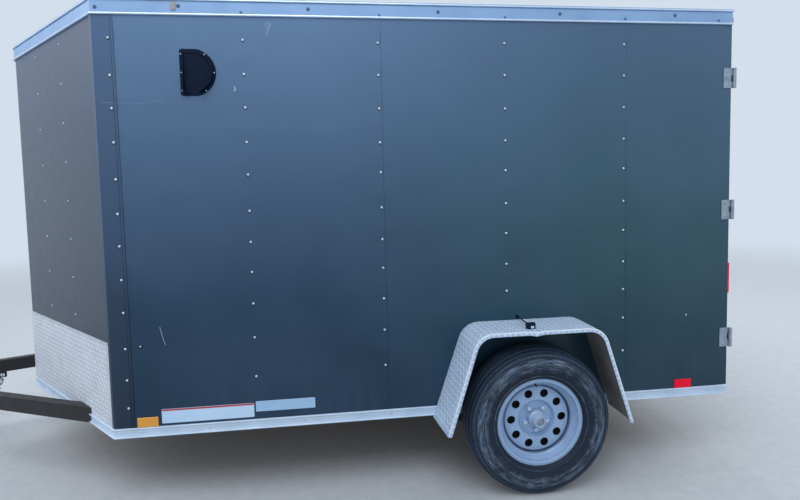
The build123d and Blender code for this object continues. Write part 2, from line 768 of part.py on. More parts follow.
def build_wheels():
    """Tyre, pressed-steel wheel and hub with its open grease cap, on each side."""
    side = [(tyre_width / 2 - inset, tyre_radius - depth) for inset, depth in tyre_section]
    tyre = turned(side + [(-along, radius) for along, radius in side[::-1]])
    edge = rim_width / 2
    inner = [(inset - edge, rim_radius - depth) for inset, depth in rim_section]
    bead = rim_radius - bead_depth
    flange = [(edge - rim_edge, rim_radius), (edge - rim_edge - 3.0, bead)]
    inner += [(-along, radius) for along, radius in inner[::-1]]
    rim = turned(inner + flange + [(-along, radius) for along, radius in flange[::-1]])
    tyre -= rim
    dish = disc_dish - disc_sheet
    well = inner[3][1]
    ring = hub_pad_radius + 2 * disc_sheet
    disc = turned([
        (0.0, hub_bore_radius), (0.0, hub_pad_radius), (dish, ring),
        (dish, well - 2 * disc_sheet), (disc_sheet, well + 0.5), (2 * disc_sheet, well + 0.5),
        (disc_dish, well - 2 * disc_sheet), (disc_dish, ring),
        (disc_sheet, hub_pad_radius), (disc_sheet, hub_bore_radius)])
    through = (wheel_plane - rim_width, wheel_plane + rim_width)
    for x, z in wheel_ring(hand_hole_count, hand_hole_circle, 180 / hand_hole_count):
        disc -= cross_cylinder(x, z, through, hand_hole_radius)
    wheel = rim + disc
    bore = spindle_radius + spindle_clearance
    barrel = hub_bore_radius - 0.5
    pad = hub_pad_radius - 2.0
    hub = turned([
        (-hub_back, bore), (-hub_back, barrel), (-2 * hub_flange, barrel), (-hub_flange, pad),
        (0.0, pad), (0.0, barrel), (cap_reach - cap_length, barrel),
        (cap_reach - cap_length + cap_wall, barrel - cap_wall), (cap_reach, cap_radius),
        (cap_reach, cap_radius - cap_wall), (cap_reach - cap_mouth, cap_radius - cap_wall),
        (cap_reach - cap_mouth, bore)])
    for x, z in wheel_ring(lug_count, lug_circle, 180.0):
        wheel -= cross_cylinder(x, z, through, lug_radius)
        stud = (wheel_plane - 2.0, wheel_plane + disc_sheet + nut_height)
        hub += cross_cylinder(x, z, stud, lug_radius)
        plane = Plane(origin=(x, wheel_plane + disc_sheet, z), x_dir=(1, 0, 0), z_dir=(0, 1, 0))
        hub += extrude(plane * RegularPolygon(nut_width / 2, 6, major_radius=False), nut_height)
    save_pair("tyre", tyre)
    save_pair("rim", wheel)
    save_pair("hub", hub)


def build_coupler():
    """Ball coupler at the point of the A-frame, with its latch."""
    z_ball = frame_top - ball_drop
    z_skirt = frame_top - coupler_skirt
    z_top = frame_top + coupler_wall
    cavity = ball_radius + socket_clearance
    outer = cavity + coupler_wall
    half = neck_width / 2
    x_back = x_ball - neck_length
    body = slab((x_back, x_ball), (-half, half), (z_skirt, z_top))
    inner = half - coupler_wall
    body -= slab((x_back - 1.0, x_ball), (-inner, inner), (below_ground, frame_top))
    body += Pos(x_ball, 0, z_ball) * Sphere(outer)
    body += post_cylinder(x_ball, 0, (z_skirt, z_ball), outer)
    body += slab((x_ball - outer, x_ball), (-half, half), (z_skirt, z_ball))
    body -= Pos(x_ball, 0, z_ball) * Sphere(cavity)
    body -= post_cylinder(x_ball, 0, (below_ground, z_ball), cavity)
    body -= slab((x_back - 1.0, x_ball), (-cavity, cavity), (below_ground, z_ball))
    front = neck_length / math.cos(tongue_slope)
    back = front + coupler_wing
    side_face = -tongue_width / 2
    outer_face = side_face - coupler_wall
    points = [tongue_point(back, 1, side_face), tongue_point(front, 1, outer_face)]
    points += [tongue_point(front, -1, outer_face), tongue_point(back, -1, side_face)]
    body += upright(points, (frame_top, z_top))
    for side in (1, -1):
        body += tongue_strip(side, (front, back), (side_face, outer_face), (z_skirt, z_top))
    body -= post_cylinder(x_jack, 0, (below_ground, above_roof), jack_tube_radius + jack_clearance)
    pin_z = frame_top - coupler_skirt / 3
    body -= cross_cylinder(x_ball - latch_pin_setback, pin_z, (-neck_width, neck_width), latch_pin_radius)
    save("coupler", body)
    half = latch_width / 2
    latch = slab((x_back + 8.0, x_ball - outer - 3.0), (-half, half), (z_top, z_top + latch_height))
    lever_x = (x_ball - 2 * outer - lever_length, x_ball - 2 * outer)
    lever_z = (z_top + latch_height, z_top + latch_height + lever_thickness)
    lever = slab(lever_x, (-half / 2, half / 2), lever_z)
    save("coupler_latch", latch + lever)


def build_jack():
    """Top-wind tongue jack: outer tube with its flange, crank, and leg with its foot."""
    z_flange = frame_top + coupler_wall
    bore = jack_leg_radius + jack_clearance
    z_cap = jack_tube_top - jack_cap_height * 0.6
    tube = post_cylinder(x_jack, 0, (jack_tube_bottom, jack_tube_top), jack_tube_radius)
    flange_z = (z_flange, z_flange + jack_flange_thickness)
    tube += post_cylinder(x_jack, 0, flange_z, jack_flange_radius)
    cap = post_cylinder(x_jack, 0, (z_cap, z_cap + jack_cap_height), jack_cap_radius)
    tube += chamfer(cap.edges().group_by(Axis.Z)[-1], 6.0)
    tube -= post_cylinder(x_jack, 0, (jack_tube_bottom - 1.0, jack_tube_top - 6.0), bore)
    save("jack_tube", tube)
    z_cap += jack_cap_height
    arm_z = (z_cap + 2 * crank_radius, z_cap + 3 * crank_radius)
    crank = post_cylinder(x_jack, 0, (z_cap, arm_z[1]), crank_radius)
    crank += slab((x_jack - crank_radius, x_jack + crank_radius), (0.0, crank_reach), arm_z)
    grip_z = (arm_z[0], arm_z[1] + crank_grip_length)
    crank += post_cylinder(x_jack, crank_reach, grip_z, crank_radius + 2.0)
    save("jack_crank", crank)
    leg = post_cylinder(x_jack, 0, (foot_thickness, jack_leg_top), jack_leg_radius)
    hollow = (foot_thickness + jack_leg_wall, jack_leg_top + 1.0)
    leg -= post_cylinder(x_jack, 0, hollow, jack_leg_radius - jack_leg_wall)
    foot = block_at((x_jack, 0, foot_thickness / 2), (foot_side, foot_side, foot_thickness))
    leg += chamfer(foot.edges().filter_by(Axis.Z), foot_side / 8)
    save("jack_leg", leg)


def link_outline(length, width):
    """Long outline with its ends cut to three flats."""
    face = Rectangle(length, width)
    return chamfer(face.vertices(), link_corner * width)


def chain_link():
    """Chain link that lies in the XZ plane, its long side along X."""
    inner = link_outline(link_inside_length, link_inside_width)
    outer = link_outline(link_inside_length + 2 * link_wire, link_inside_width + 2 * link_wire)
    plane = Plane(origin=(0, -link_wire / 2, 0), x_dir=(1, 0, 0), z_dir=(0, 1, 0))
    return extrude(plane * (outer - inner), link_wire)


def hanging_points(count, pitch, span):
    """Joints of a chain that hangs between two points of one height, as x and z."""
    low, high = span / 20, span * 20
    for step in range(50):
        scale = (low + high) / 2
        if 2 * scale * math.sinh(span / 2 / scale) > count * pitch:
            low = scale
        else:
            high = scale
    drop = scale * (math.cosh(span / 2 / scale) - 1)
    points = []
    for k in range(count + 1):
        x = scale * math.asinh((k - count / 2) * pitch / scale)
        points.append((x, scale * (math.cosh(x / scale) - 1) - drop))
    return points


def build_chains():
    """Safety chains, each hung from one tab and hooked into a second."""
    crown = link_wire / 2 - (0.5 - link_corner) * link_inside_width
    pitch = link_inside_length - 2 * crown - link_play
    hole_z = -tab_drop + tab_rim + tab_hole_radius
    tabs, links = [], []
    joints = hanging_points(chain_links, pitch, chain_span)
    for side in (1, -1):
        x, y = tongue_point(chain_setback + chain_span / 2, side)
        place = Location((x, y, body_bottom), (0, 0, -side * tongue_angle))
        for end in (-1, 1):
            middle = end * chain_span / 2
            tab = block_at((middle, 0, -tab_drop / 2), (tab_width, tab_thickness, tab_drop))
            hole = cross_cylinder(middle, hole_z, (-tab_thickness, tab_thickness), tab_hole_radius)
            tabs.append(place * (tab - hole))
        for k in range(chain_links):
            (x0, z0), (x1, z1) = joints[k], joints[k + 1]
            tilt = math.degrees(math.atan2(z1 - z0, x1 - x0))
            roll = 90.0 * ((k + 1) % 2)
            spot = Pos((x0 + x1) / 2, 0, (z0 + z1) / 2 + hole_z) * Rot(0, -tilt, 0) * Rot(roll, 0, 0)
            links.append(place * spot * chain_link())
    save("chain_tabs", *tabs)
    save("safety_chains", *links)


def vent_outline(inset):
    """D-shaped outline, flat to the left and round to the right."""
    half = vent_height / 2 - inset
    left = -vent_width / 2 + inset
    right = vent_width / 2 - inset
    turn = right - half * vent_round
    box = Polyline((turn, half), (left, half), (left, -half), (turn, -half))
    arc = ThreePointArc((turn, -half), (right, 0), (turn, half))
    face = make_face([box, arc])
    corners = face.vertices().sort_by(Axis.X)[:2]
    return fillet(corners, vent_corner - inset / 2)


def side_vent():
    """Vent with a flat flange and a hood that opens downwards."""
    half = vent_height / 2 - vent_border
    slope = (vent_depth - vent_top_depth) / (2 * half)
    plane = Plane(origin=(-vent_width, 0, 0), x_dir=(0, 1, 0), z_dir=(1, 0, 0))

    def wedge(thin, low):
        top = vent_top_depth - thin
        bottom = vent_depth - thin
        outline = Polyline((half + 1, 0), (half + 1, top), (low, bottom + slope * (-half - low)),
                           (low, 0), close=True)
        return extrude(plane * make_face(outline), 2 * vent_width)

    hood = extrude(vent_outline(vent_border), vent_depth) & wedge(0.0, -half)
    hollow = extrude(vent_outline(vent_border + vent_wall), vent_depth) & wedge(vent_wall, -half)
    mouth_size = (vent_width * vent_mouth, 4 * vent_wall, 2 * (vent_depth - 2 * vent_wall))
    mouth = block_at((0, -half, 0), mouth_size)
    mouth = mouth & extrude(Rectangle(vent_width, vent_height), vent_depth)
    base = extrude(vent_outline(0.0), vent_flange)
    return (base + hood) - Pos(0, 0, vent_flange) * hollow - Pos(0, 0, vent_flange) * mouth


def rounded_block(centre, size, radius, outward):
    """Block whose outward face has rounded edges, as a moulded lens."""
    block = block_at(centre, size)
    return chamfer(block.faces().sort_by(outward)[-1].edges(), radius)


def build_fittings():
    """Side vents, reflectors and lamps."""
    vent = side_vent()
    z_vent = roof_top - vent_below_roof
    left = Plane(origin=(x_corner - vent_setback, half_width, z_vent), x_dir=(-1, 0, 0), z_dir=(0, 1, 0))
    right = Plane(origin=(x_rear + vent_setback, -half_width, z_vent), x_dir=(1, 0, 0), z_dir=(0, -1, 0))
    save("side_vents", left.location * vent, right.location * mirror(vent, about=Plane.YZ))
    size = (reflector_length, reflector_thickness, reflector_height)
    y = half_width + reflector_thickness / 2
    z = trim_top + reflector_height / 2
    for node, x in (("amber_reflectors", x_corner - reflector_setback),
                    ("red_reflectors", x_rear + red_reflector_setback)):
        save(node, *both_sides(rounded_block((x, y, z), size, reflector_edge, Axis.Y)))
    z = roof_top - lamp_below_roof
    size = (lamp_depth, lamp_length, lamp_height)
    sides = half_width - post_width / 2
    places = [-sides, -lamp_spacing, 0.0, lamp_spacing, sides]
    rear = Axis((0, 0, 0), (-1, 0, 0))
    x = x_rear - lamp_depth / 2
    save("rear_marker_lamps", *[rounded_block((x, y, z), size, lamp_edge, rear) for y in places])
    size = (tail_lamp_depth, tail_lamp_width, tail_lamp_height)
    centre = (x_rear - tail_lamp_depth / 2, sides, tail_lamp_bottom + tail_lamp_height / 2)
    save("tail_lamps", *both_sides(rounded_block(centre, size, 2 * lamp_edge, rear)))
    build_fender_lamps()


def build_fender_lamps():
    """Marker lamp on each fender, with the lead that runs to a grommet in the wall."""
    x = x_axle + fender_lamp_forward
    y = half_width + fender_width - fender_lamp_inset - fender_lamp_width / 2
    z = fender_top + fender_lamp_height / 2
    size = (fender_lamp_length, fender_lamp_width, fender_lamp_height)
    lamp = rounded_block((x, y, z), size, lamp_edge, Axis.Y)
    z_lead = fender_top + grommet_rise
    grommet = cross_cylinder(x, z_lead, (half_width, half_width + lead_radius), grommet_radius)
    lead = cross_cylinder(x, z_lead, (half_width, y), lead_radius)
    save("fender_lamps", *both_sides(lamp + grommet + lead))


def main():
    os.makedirs("parts", exist_ok=True)
    build_frame()
    build_walls()
    build_roof()
    build_trims()
    build_rear_frame()
    build_rear_doors()
    build_side_door()
    build_fenders()
    build_axle()
    build_wheels()
    build_coupler()
    build_jack()
    build_chains()
    build_fittings()


main()
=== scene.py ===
# %% [markdown]
# # An enclosed cargo trailer, dressed around its solids
# The solids give the trailer's true sizes: frame, walls, doors, wheels and joints. Here they get the skins,
# screws, tread plate, tyres and finishes that the eye reads first. Everything is in metres, +X forward,
# +Y to the road side, +Z up, with the ground at zero.

# %% Load the solids
import math
import random

import bmesh
import bpy
import numpy as np
from mathutils import Matrix, Vector


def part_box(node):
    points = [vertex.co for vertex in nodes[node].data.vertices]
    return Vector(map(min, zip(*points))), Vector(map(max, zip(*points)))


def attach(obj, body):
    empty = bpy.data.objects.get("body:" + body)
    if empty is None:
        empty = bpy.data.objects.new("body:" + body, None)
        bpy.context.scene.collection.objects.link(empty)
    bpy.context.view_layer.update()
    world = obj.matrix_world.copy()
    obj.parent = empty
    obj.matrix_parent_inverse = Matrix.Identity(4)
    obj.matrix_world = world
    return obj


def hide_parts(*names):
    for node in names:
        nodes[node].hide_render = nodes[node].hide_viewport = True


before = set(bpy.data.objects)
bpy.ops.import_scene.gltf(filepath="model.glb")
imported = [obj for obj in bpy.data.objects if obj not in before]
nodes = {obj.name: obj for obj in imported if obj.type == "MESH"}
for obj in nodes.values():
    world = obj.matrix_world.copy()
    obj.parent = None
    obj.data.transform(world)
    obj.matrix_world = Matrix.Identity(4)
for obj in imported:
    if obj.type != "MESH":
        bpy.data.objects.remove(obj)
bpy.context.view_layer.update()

# %% [markdown]
# A size that the solids already have is read from them, so that each new piece sits on what carries it.
# The road-side wall is the reference: its face, its front corner, and the strip between its two trims.

# %% Places read from the solids
MM = 0.001
wall_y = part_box("wall_left")[1].y
x_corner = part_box("wall_left")[1].x
x_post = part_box("wall_left")[0].x
x_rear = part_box("rear_posts")[0].x
trim_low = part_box("bottom_trims")[0].z
trim_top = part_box("bottom_trims")[1].z
rail_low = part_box("top_rail")[0].z
rail_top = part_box("top_rail")[1].z
axle = sum(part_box("tyre_left"), Vector()) / 2
x_column = x_corner - 638 * MM
trim_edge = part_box("corner_trims")[0].x
print("wall strip, mm:", round(trim_top / MM), "to", round(rail_low / MM), "axle at", axle)

# %% [markdown]
# ## The camera
# The photograph was taken from close by with a wide lens, so perspective is strong and has to be matched.
# The camera's place and three turns were fitted to the screw columns, which run at a known pitch. A shift
# lowers the view a little instead of tilting it, as the picture's centre lies above the frame's.

# %% Camera at the photograph's place
photo_width = 800
photo_focus = 540
photo_centre_y = 225
frame_centre_y = 250
sensor = 36.0
place = Vector((x_column - 372.2 * MM, wall_y + 2551.0 * MM, trim_top + 1063.7 * MM))
yaw, pitch, roll = (math.radians(a) for a in (7.2268, 3.7779, -1.3065))
level = Matrix(((-1, 0, 0), (0, 0, 1), (0, -1, 0)))
turned = Matrix.Rotation(-yaw, 3, "Y") @ level
tilted = Matrix.Rotation(-pitch, 3, "X") @ turned
rolled = Matrix.Rotation(-roll, 3, "Z") @ tilted
camera = bpy.data.objects.new("camera", bpy.data.cameras.new("camera"))
camera.data.sensor_width = sensor
camera.data.lens = photo_focus / photo_width * sensor
camera.data.shift_y = (photo_centre_y - frame_centre_y) / photo_width
camera.data.clip_end = 200
right, up, ahead = rolled
camera.matrix_world = Matrix.Translation(place) @ Matrix((right, up, -ahead)).transposed().to_4x4()
bpy.context.scene.collection.objects.link(camera)
bpy.context.scene.camera = camera
print("camera at", [round(v, 3) for v in place], "lens", round(camera.data.lens, 1), "mm")

# %% [markdown]
# ## Small tools
# An operator works on all that is selected, so each step first selects one piece only. In edit mode, faces
# are picked by a test on their middle and normal, as a hand would click them.

# %% Selecting and shaping
bpy.context.tool_settings.mesh_select_mode = (True, True, True)


def only(*pieces):
    """Selects these pieces and nothing else."""
    if bpy.context.mode != "OBJECT":
        bpy.ops.object.mode_set(mode="OBJECT")
    bpy.ops.object.select_all(action="DESELECT")
    for piece in pieces:
        piece.select_set(True)
    bpy.context.view_layer.objects.active = pieces[0]
    return pieces[0]


def pick(piece, test):
    """Selects, in edit mode, the faces whose middle and normal pass a test."""
    bpy.ops.mesh.select_all(action="DESELECT")
    mesh = bmesh.from_edit_mesh(piece.data)
    for face in mesh.faces:
        face.select_set(bool(test(face.calc_center_median(), face.normal)))
    bmesh.update_edit_mesh(piece.data)


def edit(piece, test=lambda middle, normal: True):
    """Opens a piece in edit mode with the faces selected that pass a test."""
    only(piece)
    bpy.ops.object.mode_set(mode="EDIT")
    pick(piece, test)
    return piece


def done(piece):
    """Leaves edit mode."""
    bpy.ops.object.mode_set(mode="OBJECT")
    return piece


def modify(piece, kind, **settings):
    """Adds a modifier, sets it and applies it."""
    only(piece)
    modifier = piece.modifiers.new(kind.title(), kind)
    for key, value in settings.items():
        setattr(modifier, key, value)
    bpy.ops.object.modifier_apply(modifier=modifier.name)
    return piece


def settle(piece):
    """Puts a piece's place, turn and scale into its mesh."""
    only(piece)
    bpy.ops.object.transform_apply(location=True, rotation=True, scale=True)
    return piece


print("shaping tools ready")

# %% [markdown]
# Sheets, rings and ribbons start as a line of points, which is then extruded or spun. Reliefs come from
# vertex weights: each point's weight is its share of a Displace modifier's strength.

# %% Lines and reliefs


def wire(name, points, closed=False):
    """A line mesh through points, left open in edit mode with all of it selected."""
    count = len(points)
    mesh = bpy.data.meshes.new(name)
    mesh.from_pydata(points, [(k, (k + 1) % count) for k in range(count if closed else count - 1)], [])
    piece = bpy.data.objects.new(name, mesh)
    bpy.context.scene.collection.objects.link(piece)
    edit(piece)
    bpy.ops.mesh.select_all(action="SELECT")
    return piece


def close_up(piece):
    """Merges points that meet, turns the faces outwards and leaves edit mode."""
    bpy.ops.mesh.select_all(action="SELECT")
    bpy.ops.mesh.remove_doubles(threshold=0.01 * MM)
    bpy.ops.mesh.normals_make_consistent(inside=False)
    return done(piece)


def displaced(piece, weights, direction, strength):
    """Moves each point along an axis by its own share of a strength."""
    group = piece.vertex_groups.new(name="share")
    for k, weight in enumerate(weights):
        group.add([k], float(weight), "REPLACE")
    return modify(piece, "DISPLACE", vertex_group=group.name, direction=direction, strength=strength,
                  mid_level=0.0)


print("line tools ready")

# %% [markdown]
# Repeats are modelled once and copied. `stand` gives a place whose Z leaves a surface and whose Y runs
# along it, and each copy keeps its own mesh until all are joined into one piece. `hand_in` names a finished
# piece and gives it its finish and the body that it rides on. What both sides have is modelled for the road
# side and mirrored.

# %% Copying and handing in


def stand(point, normal, along=(0, 0, 1), turn=0.0):
    """Place on a surface, with Z out of it, Y along a direction, and a turn in degrees about Z."""
    out = Vector(normal).normalized()
    side = Vector(along)
    side = (side - side.project(out)).normalized()
    axes = Matrix((side.cross(out), side, out)).transposed().to_4x4()
    return Matrix.Translation(point) @ axes @ Matrix.Rotation(math.radians(turn), 4, "Z")


def join(pieces):
    """Joins pieces into the first one."""
    whole = only(*pieces)
    if len(pieces) > 1:
        bpy.ops.object.join()
    return whole


def twin(piece, place=Matrix.Identity(4)):
    """A copy with its own mesh, moved to a place."""
    copy = piece.copy()
    copy.data = piece.data.copy()
    copy.matrix_world = place @ piece.matrix_world
    bpy.context.scene.collection.objects.link(copy)
    return copy


def copies(master, places):
    """Copies of a piece at many places, joined into one piece. The master goes."""
    whole = settle(join([twin(master, place) for place in places]))
    bpy.data.objects.remove(master)
    return whole


def mirrored(piece):
    """The kerb-side twin of a road-side piece, with its faces turned outwards again."""
    other = twin(piece, Matrix.Scale(-1, 4, (0, 1, 0)))
    settle(other)
    edit(other)
    bpy.ops.mesh.flip_normals()
    return done(other)


def both(piece):
    """A road-side piece and its kerb-side twin."""
    return piece, mirrored(piece)


def hand_in(piece, name, material, body="chassis", smooth=35):
    """Names a finished piece, gives it its finish and lets it ride on its body."""
    settle(piece)
    bpy.ops.object.shade_smooth_by_angle(angle=math.radians(smooth))
    piece.name = name
    piece.data.materials.clear()
    piece.data.materials.append(material)
    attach(piece, body)
    triangles = sum(len(p.vertices) - 2 for p in piece.data.polygons)
    print(f"{name}: {triangles} triangles on {body}")
    return piece


def hand_in_pair(pair, name, material, body=None, smooth=35):
    """Hands in a road-side piece and its twin, each on its own side's body or on the chassis."""
    for piece, side in zip(pair, ("left", "right")):
        hand_in(piece, f"{name}_{side}", material, f"{body}_{side}" if body else "chassis", smooth)


print("copying tools ready")

# %% [markdown]
# ## Finishes
# Colours are written as sRGB hex values, as a paint card gives them, and turned to linear light here. One
# small function adds a node: inputs are values, colours or the outputs that they are linked to. Each
# pattern's scale is one over its real size in metres, because Object coordinates are in metres.

# %% Colours and nodes


def linear(code):
    """Linear colour of an sRGB hex value."""
    values = [int(code[k:k + 2], 16) / 255 for k in (1, 3, 5)]
    return (*[v / 12.92 if v <= 0.04045 else ((v + 0.055) / 1.055) ** 2.4 for v in values], 1.0)


def add(tree, kind, inputs, stops=(), **settings):
    """Adds a node with its settings, inputs and colour stops, and returns the output that it gives."""
    node = tree.nodes.new("ShaderNode" + kind)
    for key, value in settings.items():
        setattr(node, key, value)
    for key, value in inputs.items():
        if isinstance(value, bpy.types.NodeSocket):
            tree.links.new(value, node.inputs[key])
        else:
            node.inputs[key].default_value = linear(value) if isinstance(value, str) else value
    for k, (at, code) in enumerate(stops):
        point = node.color_ramp.elements[k] if k < 2 else node.color_ramp.elements.new(at)
        point.position = at
        point.color = linear(code)
    return next(output for output in node.outputs if output.enabled)


def begin(name, colour, values):
    """A material with its shader's plain values, its node tree and the object's own coordinates."""
    material = bpy.data.materials.new(name)
    material.use_nodes = True
    tree = material.node_tree
    shader = tree.nodes["Principled BSDF"]
    shader.inputs["Base Color"].default_value = linear(colour)
    for key, value in values.items():
        shader.inputs[key].default_value = value
    return material, tree, add(tree, "TexCoord", {}).node.outputs["Object"]


def finish(material, sources, relief=None, depth_mm=0.0, strength=0.5):
    """Links outputs and a relief to the shader's sockets, and returns the material."""
    tree = material.node_tree
    if relief:
        bump = {"Height": relief, "Distance": depth_mm * MM, "Strength": strength}
        sources = {**sources, "Normal": add(tree, "Bump", bump)}
    for key, output in sources.items():
        tree.links.new(output, tree.nodes["Principled BSDF"].inputs[key])
    return material


def dress(material, *names):
    """Gives solids a finish."""
    for name in names:
        nodes[name].data.materials.clear()
        nodes[name].data.materials.append(material)
    print(material.name, "on", len(names), "solids")


print("mid grey is", round(linear("#808080")[0], 3), "in linear light")

# %% [markdown]
# ### Baked enamel on aluminium sheet
# The skins are pre-painted sheet. The enamel is a satin slate-charcoal that mirrors the sky softly. Its
# colour carries painted reflection: dark near the floor, where the wall would mirror the ground, and paler
# towards the roof and the front, where it would mirror the sky, with paler painted patches for a reflection
# that wanders. Road dust is mixed in near the floor. Two ramps follow the height, one for the front and one
# for the rear, and are mixed along the wall.
# Orange peel breaks the gloss. It is finer than a pixel here, so it is drawn at 14 mm.

# %% Slate enamel
painted_reflection_heights = (0.0, 1.0, 0.3, 0.46, 0.6)
fade_front, fade_rear = x_column - 330 * MM, x_column - 1700 * MM


def slate_enamel(name, front, rear, gloss):
    """Satin enamel with painted reflection in a tone that follows the height and the length, paler painted
    patches, dust below and orange peel.
    """
    material, tree, where = begin(name, front[3], {"Specular IOR Level": 0.35})
    parts = add(tree, "SeparateXYZ", {0: where}).node.outputs
    height = parts[2]
    # Painted reflection: dark low down, where the wall would mirror the ground, pale high up and towards the
    # front, where it would mirror the sky.
    share = add(tree, "MapRange", {0: height, 1: trim_top, 2: rail_low})
    ahead = add(tree, "ValToRGB", {0: share}, list(zip(painted_reflection_heights, front)))
    behind = add(tree, "ValToRGB", {0: share}, list(zip(painted_reflection_heights, rear)))
    along = add(tree, "MapRange", {0: parts[0], 1: fade_front, 2: fade_rear})
    tone = add(tree, "Mix", {0: along, 6: ahead, 7: behind}, data_type="RGBA")
    # Painted reflection: paler cloudy patches stand in for a reflection that wanders.
    cloud = add(tree, "TexNoise", {"Vector": where, "Scale": 1 / (420 * MM), "Detail": 3.0})
    painted_reflection_patches = add(tree, "MapRange", {0: cloud, 1: 0.35, 2: 0.7, 4: 0.1})
    patchy = add(tree, "Mix", {0: painted_reflection_patches, 6: tone, 7: front[1]}, data_type="RGBA")
    stretched = add(tree, "Mapping", {0: where, "Scale": (1 / (45 * MM), 1 / (45 * MM), 1 / (700 * MM))})
    streak = add(tree, "TexNoise", {"Vector": stretched, "Scale": 1.0, "Detail": 5.0})
    runs = add(tree, "MapRange", {0: streak, 1: 0.42, 2: 0.68})
    splash = add(tree, "MapRange", {0: height, 1: trim_top + 0.34, 2: trim_low, 4: 0.14})
    dust = add(tree, "Math", {0: runs, 1: splash}, operation="MULTIPLY")
    dusty = add(tree, "Mix", {0: dust, 6: patchy, 7: "#4E5C68"}, data_type="RGBA")
    fine = add(tree, "TexNoise", {"Vector": where, "Scale": 1 / (60 * MM), "Detail": 3.0})
    sheen = add(tree, "MapRange", {0: fine, 1: 0.3, 2: 0.75, 3: gloss - 0.02, 4: gloss + 0.03})
    peel = add(tree, "TexNoise", {"Vector": where, "Scale": 1 / (14 * MM), "Detail": 1.0})
    return finish(material, {"Base Color": dusty, "Roughness": sheen}, peel, 0.04, 0.2)


# Each set of tones runs from the dark painted reflection at the bottom to the pale one at the top.
wall_front = ("#132F47", "#5C799A", "#17374F", "#2F4A63", "#3C5873")
wall_rear = ("#113242", "#435F78", "#214550", "#2A4C58", "#345566")
nose_tones = ("#263242", "#44536B", "#2D3A4B", "#313E50", "#364356")
trim_tones = ("#15283C", "#4A6382", "#21364C", "#2F4660", "#374E69")
skin_paint = slate_enamel("slate_enamel_on_sheet", wall_front, wall_rear, 0.32)
nose_paint = slate_enamel("slate_enamel_on_nose", nose_tones, nose_tones, 0.34)
trim_paint = slate_enamel("slate_enamel_on_trim", trim_tones, trim_tones, 0.40)
dress(skin_paint, "wall_left", "wall_right", "rear_posts", "rear_header", "side_door",
      "rear_door_left", "rear_door_right")
dress(nose_paint, "nose_panel_left", "nose_panel_right", "nose_cap")
dress(trim_paint, "corner_trims")

# %% [markdown]
# ### Bare aluminium and zinc
# Trims are extruded and left bare. The die leaves fine lines along the length and the weather leaves a
# thin grey bloom, so the gloss varies along the bar. Tread plate is rolled sheet, duller in its flats. Its
# bars are paler: partly rubbed bright by boots and straps, partly a painted highlight on their raised faces.
# Zinc plating has a finer, cloudier bloom.

# %% Extrusions, tread plate and zinc


def bare_metal(name, colour, dark, gloss, line_mm, stretch, bloom_mm, share=0.8):
    """Bare metal with long die lines and patches of bloom."""
    material, tree, where = begin(name, colour, {"Metallic": share})
    scale = [1 / (line_mm * MM * s) for s in stretch]
    stretched = add(tree, "Mapping", {0: where, "Scale": scale})
    lines = add(tree, "TexNoise", {"Vector": stretched, "Scale": 1.0, "Detail": 4.0})
    bloom = add(tree, "TexNoise", {"Vector": where, "Scale": 1 / (bloom_mm * MM), "Detail": 5.0})
    cover = add(tree, "MapRange", {0: bloom, 1: 0.36, 2: 0.7, 4: 0.75})
    worn = add(tree, "Mix", {0: cover, 6: colour, 7: dark}, data_type="RGBA")
    depth = add(tree, "MapRange", {0: lines, 1: 0.4, 2: 0.7, 4: 0.3})
    lined = add(tree, "Mix", {0: depth, 6: worn, 7: dark}, data_type="RGBA")
    sheen = add(tree, "MapRange", {0: lines, 1: 0.3, 2: 0.75, 3: gloss - 0.08, 4: gloss + 0.14})
    return finish(material, {"Base Color": lined, "Roughness": sheen}, lines, 0.06, 0.4)


extrusion = bare_metal("extruded_aluminium", "#CDDFF1", "#B8CBDF", 0.38, 3, (40, 1, 1), 130, 0.25)
rail_metal = bare_metal("extruded_roof_rail", "#8FB0D6", "#82A1C8", 0.38, 3, (40, 1, 1), 130, 0.35)
tread_plate = bare_metal("rolled_tread_plate", "#B0C8E2", "#9AB1CD", 0.46, 5, (1, 1, 1), 90, 0.12)
# The bars are a paler copy of the plate: partly rub wear, partly painted highlight.
bar_rub_and_painted_highlight = bare_metal("tread_bars_rub_and_painted_highlight", "#E2ECF8", "#CCDAEA", 0.3, 5, (1, 1, 1), 50, 0.2)
roof_sheet = bare_metal("mill_roof_sheet", "#8F9DAC", "#7D8B9A", 0.42, 12, (30, 1, 1), 200, 0.6)
zinc = bare_metal("zinc_plated_steel", "#A6B1BE", "#7C8896", 0.36, 8, (1, 1, 1), 35, 0.7)
screw_zinc = bare_metal("bright_zinc_screws", "#DCE8F6", "#A9B9CC", 0.25, 4, (1, 1, 1), 12, 0.6)
guard_plate = bare_metal("rolled_guard_plate", "#C6CBD4", "#B2B8C2", 0.46, 5, (1, 1, 1), 90, 0.15)
# Painted shade: the fender's underside is a darker, greyer copy of the plate.
plate_back = bare_metal("plate_back_painted_shade", "#8C8B8B", "#6E6E70", 0.7, 5, (1, 1, 1), 90, 0.05)
dress(rail_metal, "top_rail")
dress(extrusion, "bottom_trims", "side_door_frame")
dress(guard_plate, "stone_guard")
dress(roof_sheet, "roof", "roof_bows")
dress(zinc, "jack_tube", "jack_crank", "jack_leg", "coupler_latch", "rear_hinge_leaves", "rear_keepers",
      "rear_hardware_left", "rear_hardware_right", "side_door_hardware", "safety_chains")

# %% [markdown]
# ### Frame enamel, wheel enamel and rust
# The frame is dipped in thin black enamel that chips to a rusty brown at its edges. Wheels are silver
# enamel with brake dust in the corners. The hubs are bare cast iron: grey where they rub, brown where not.

# %% Painted and rusty steel


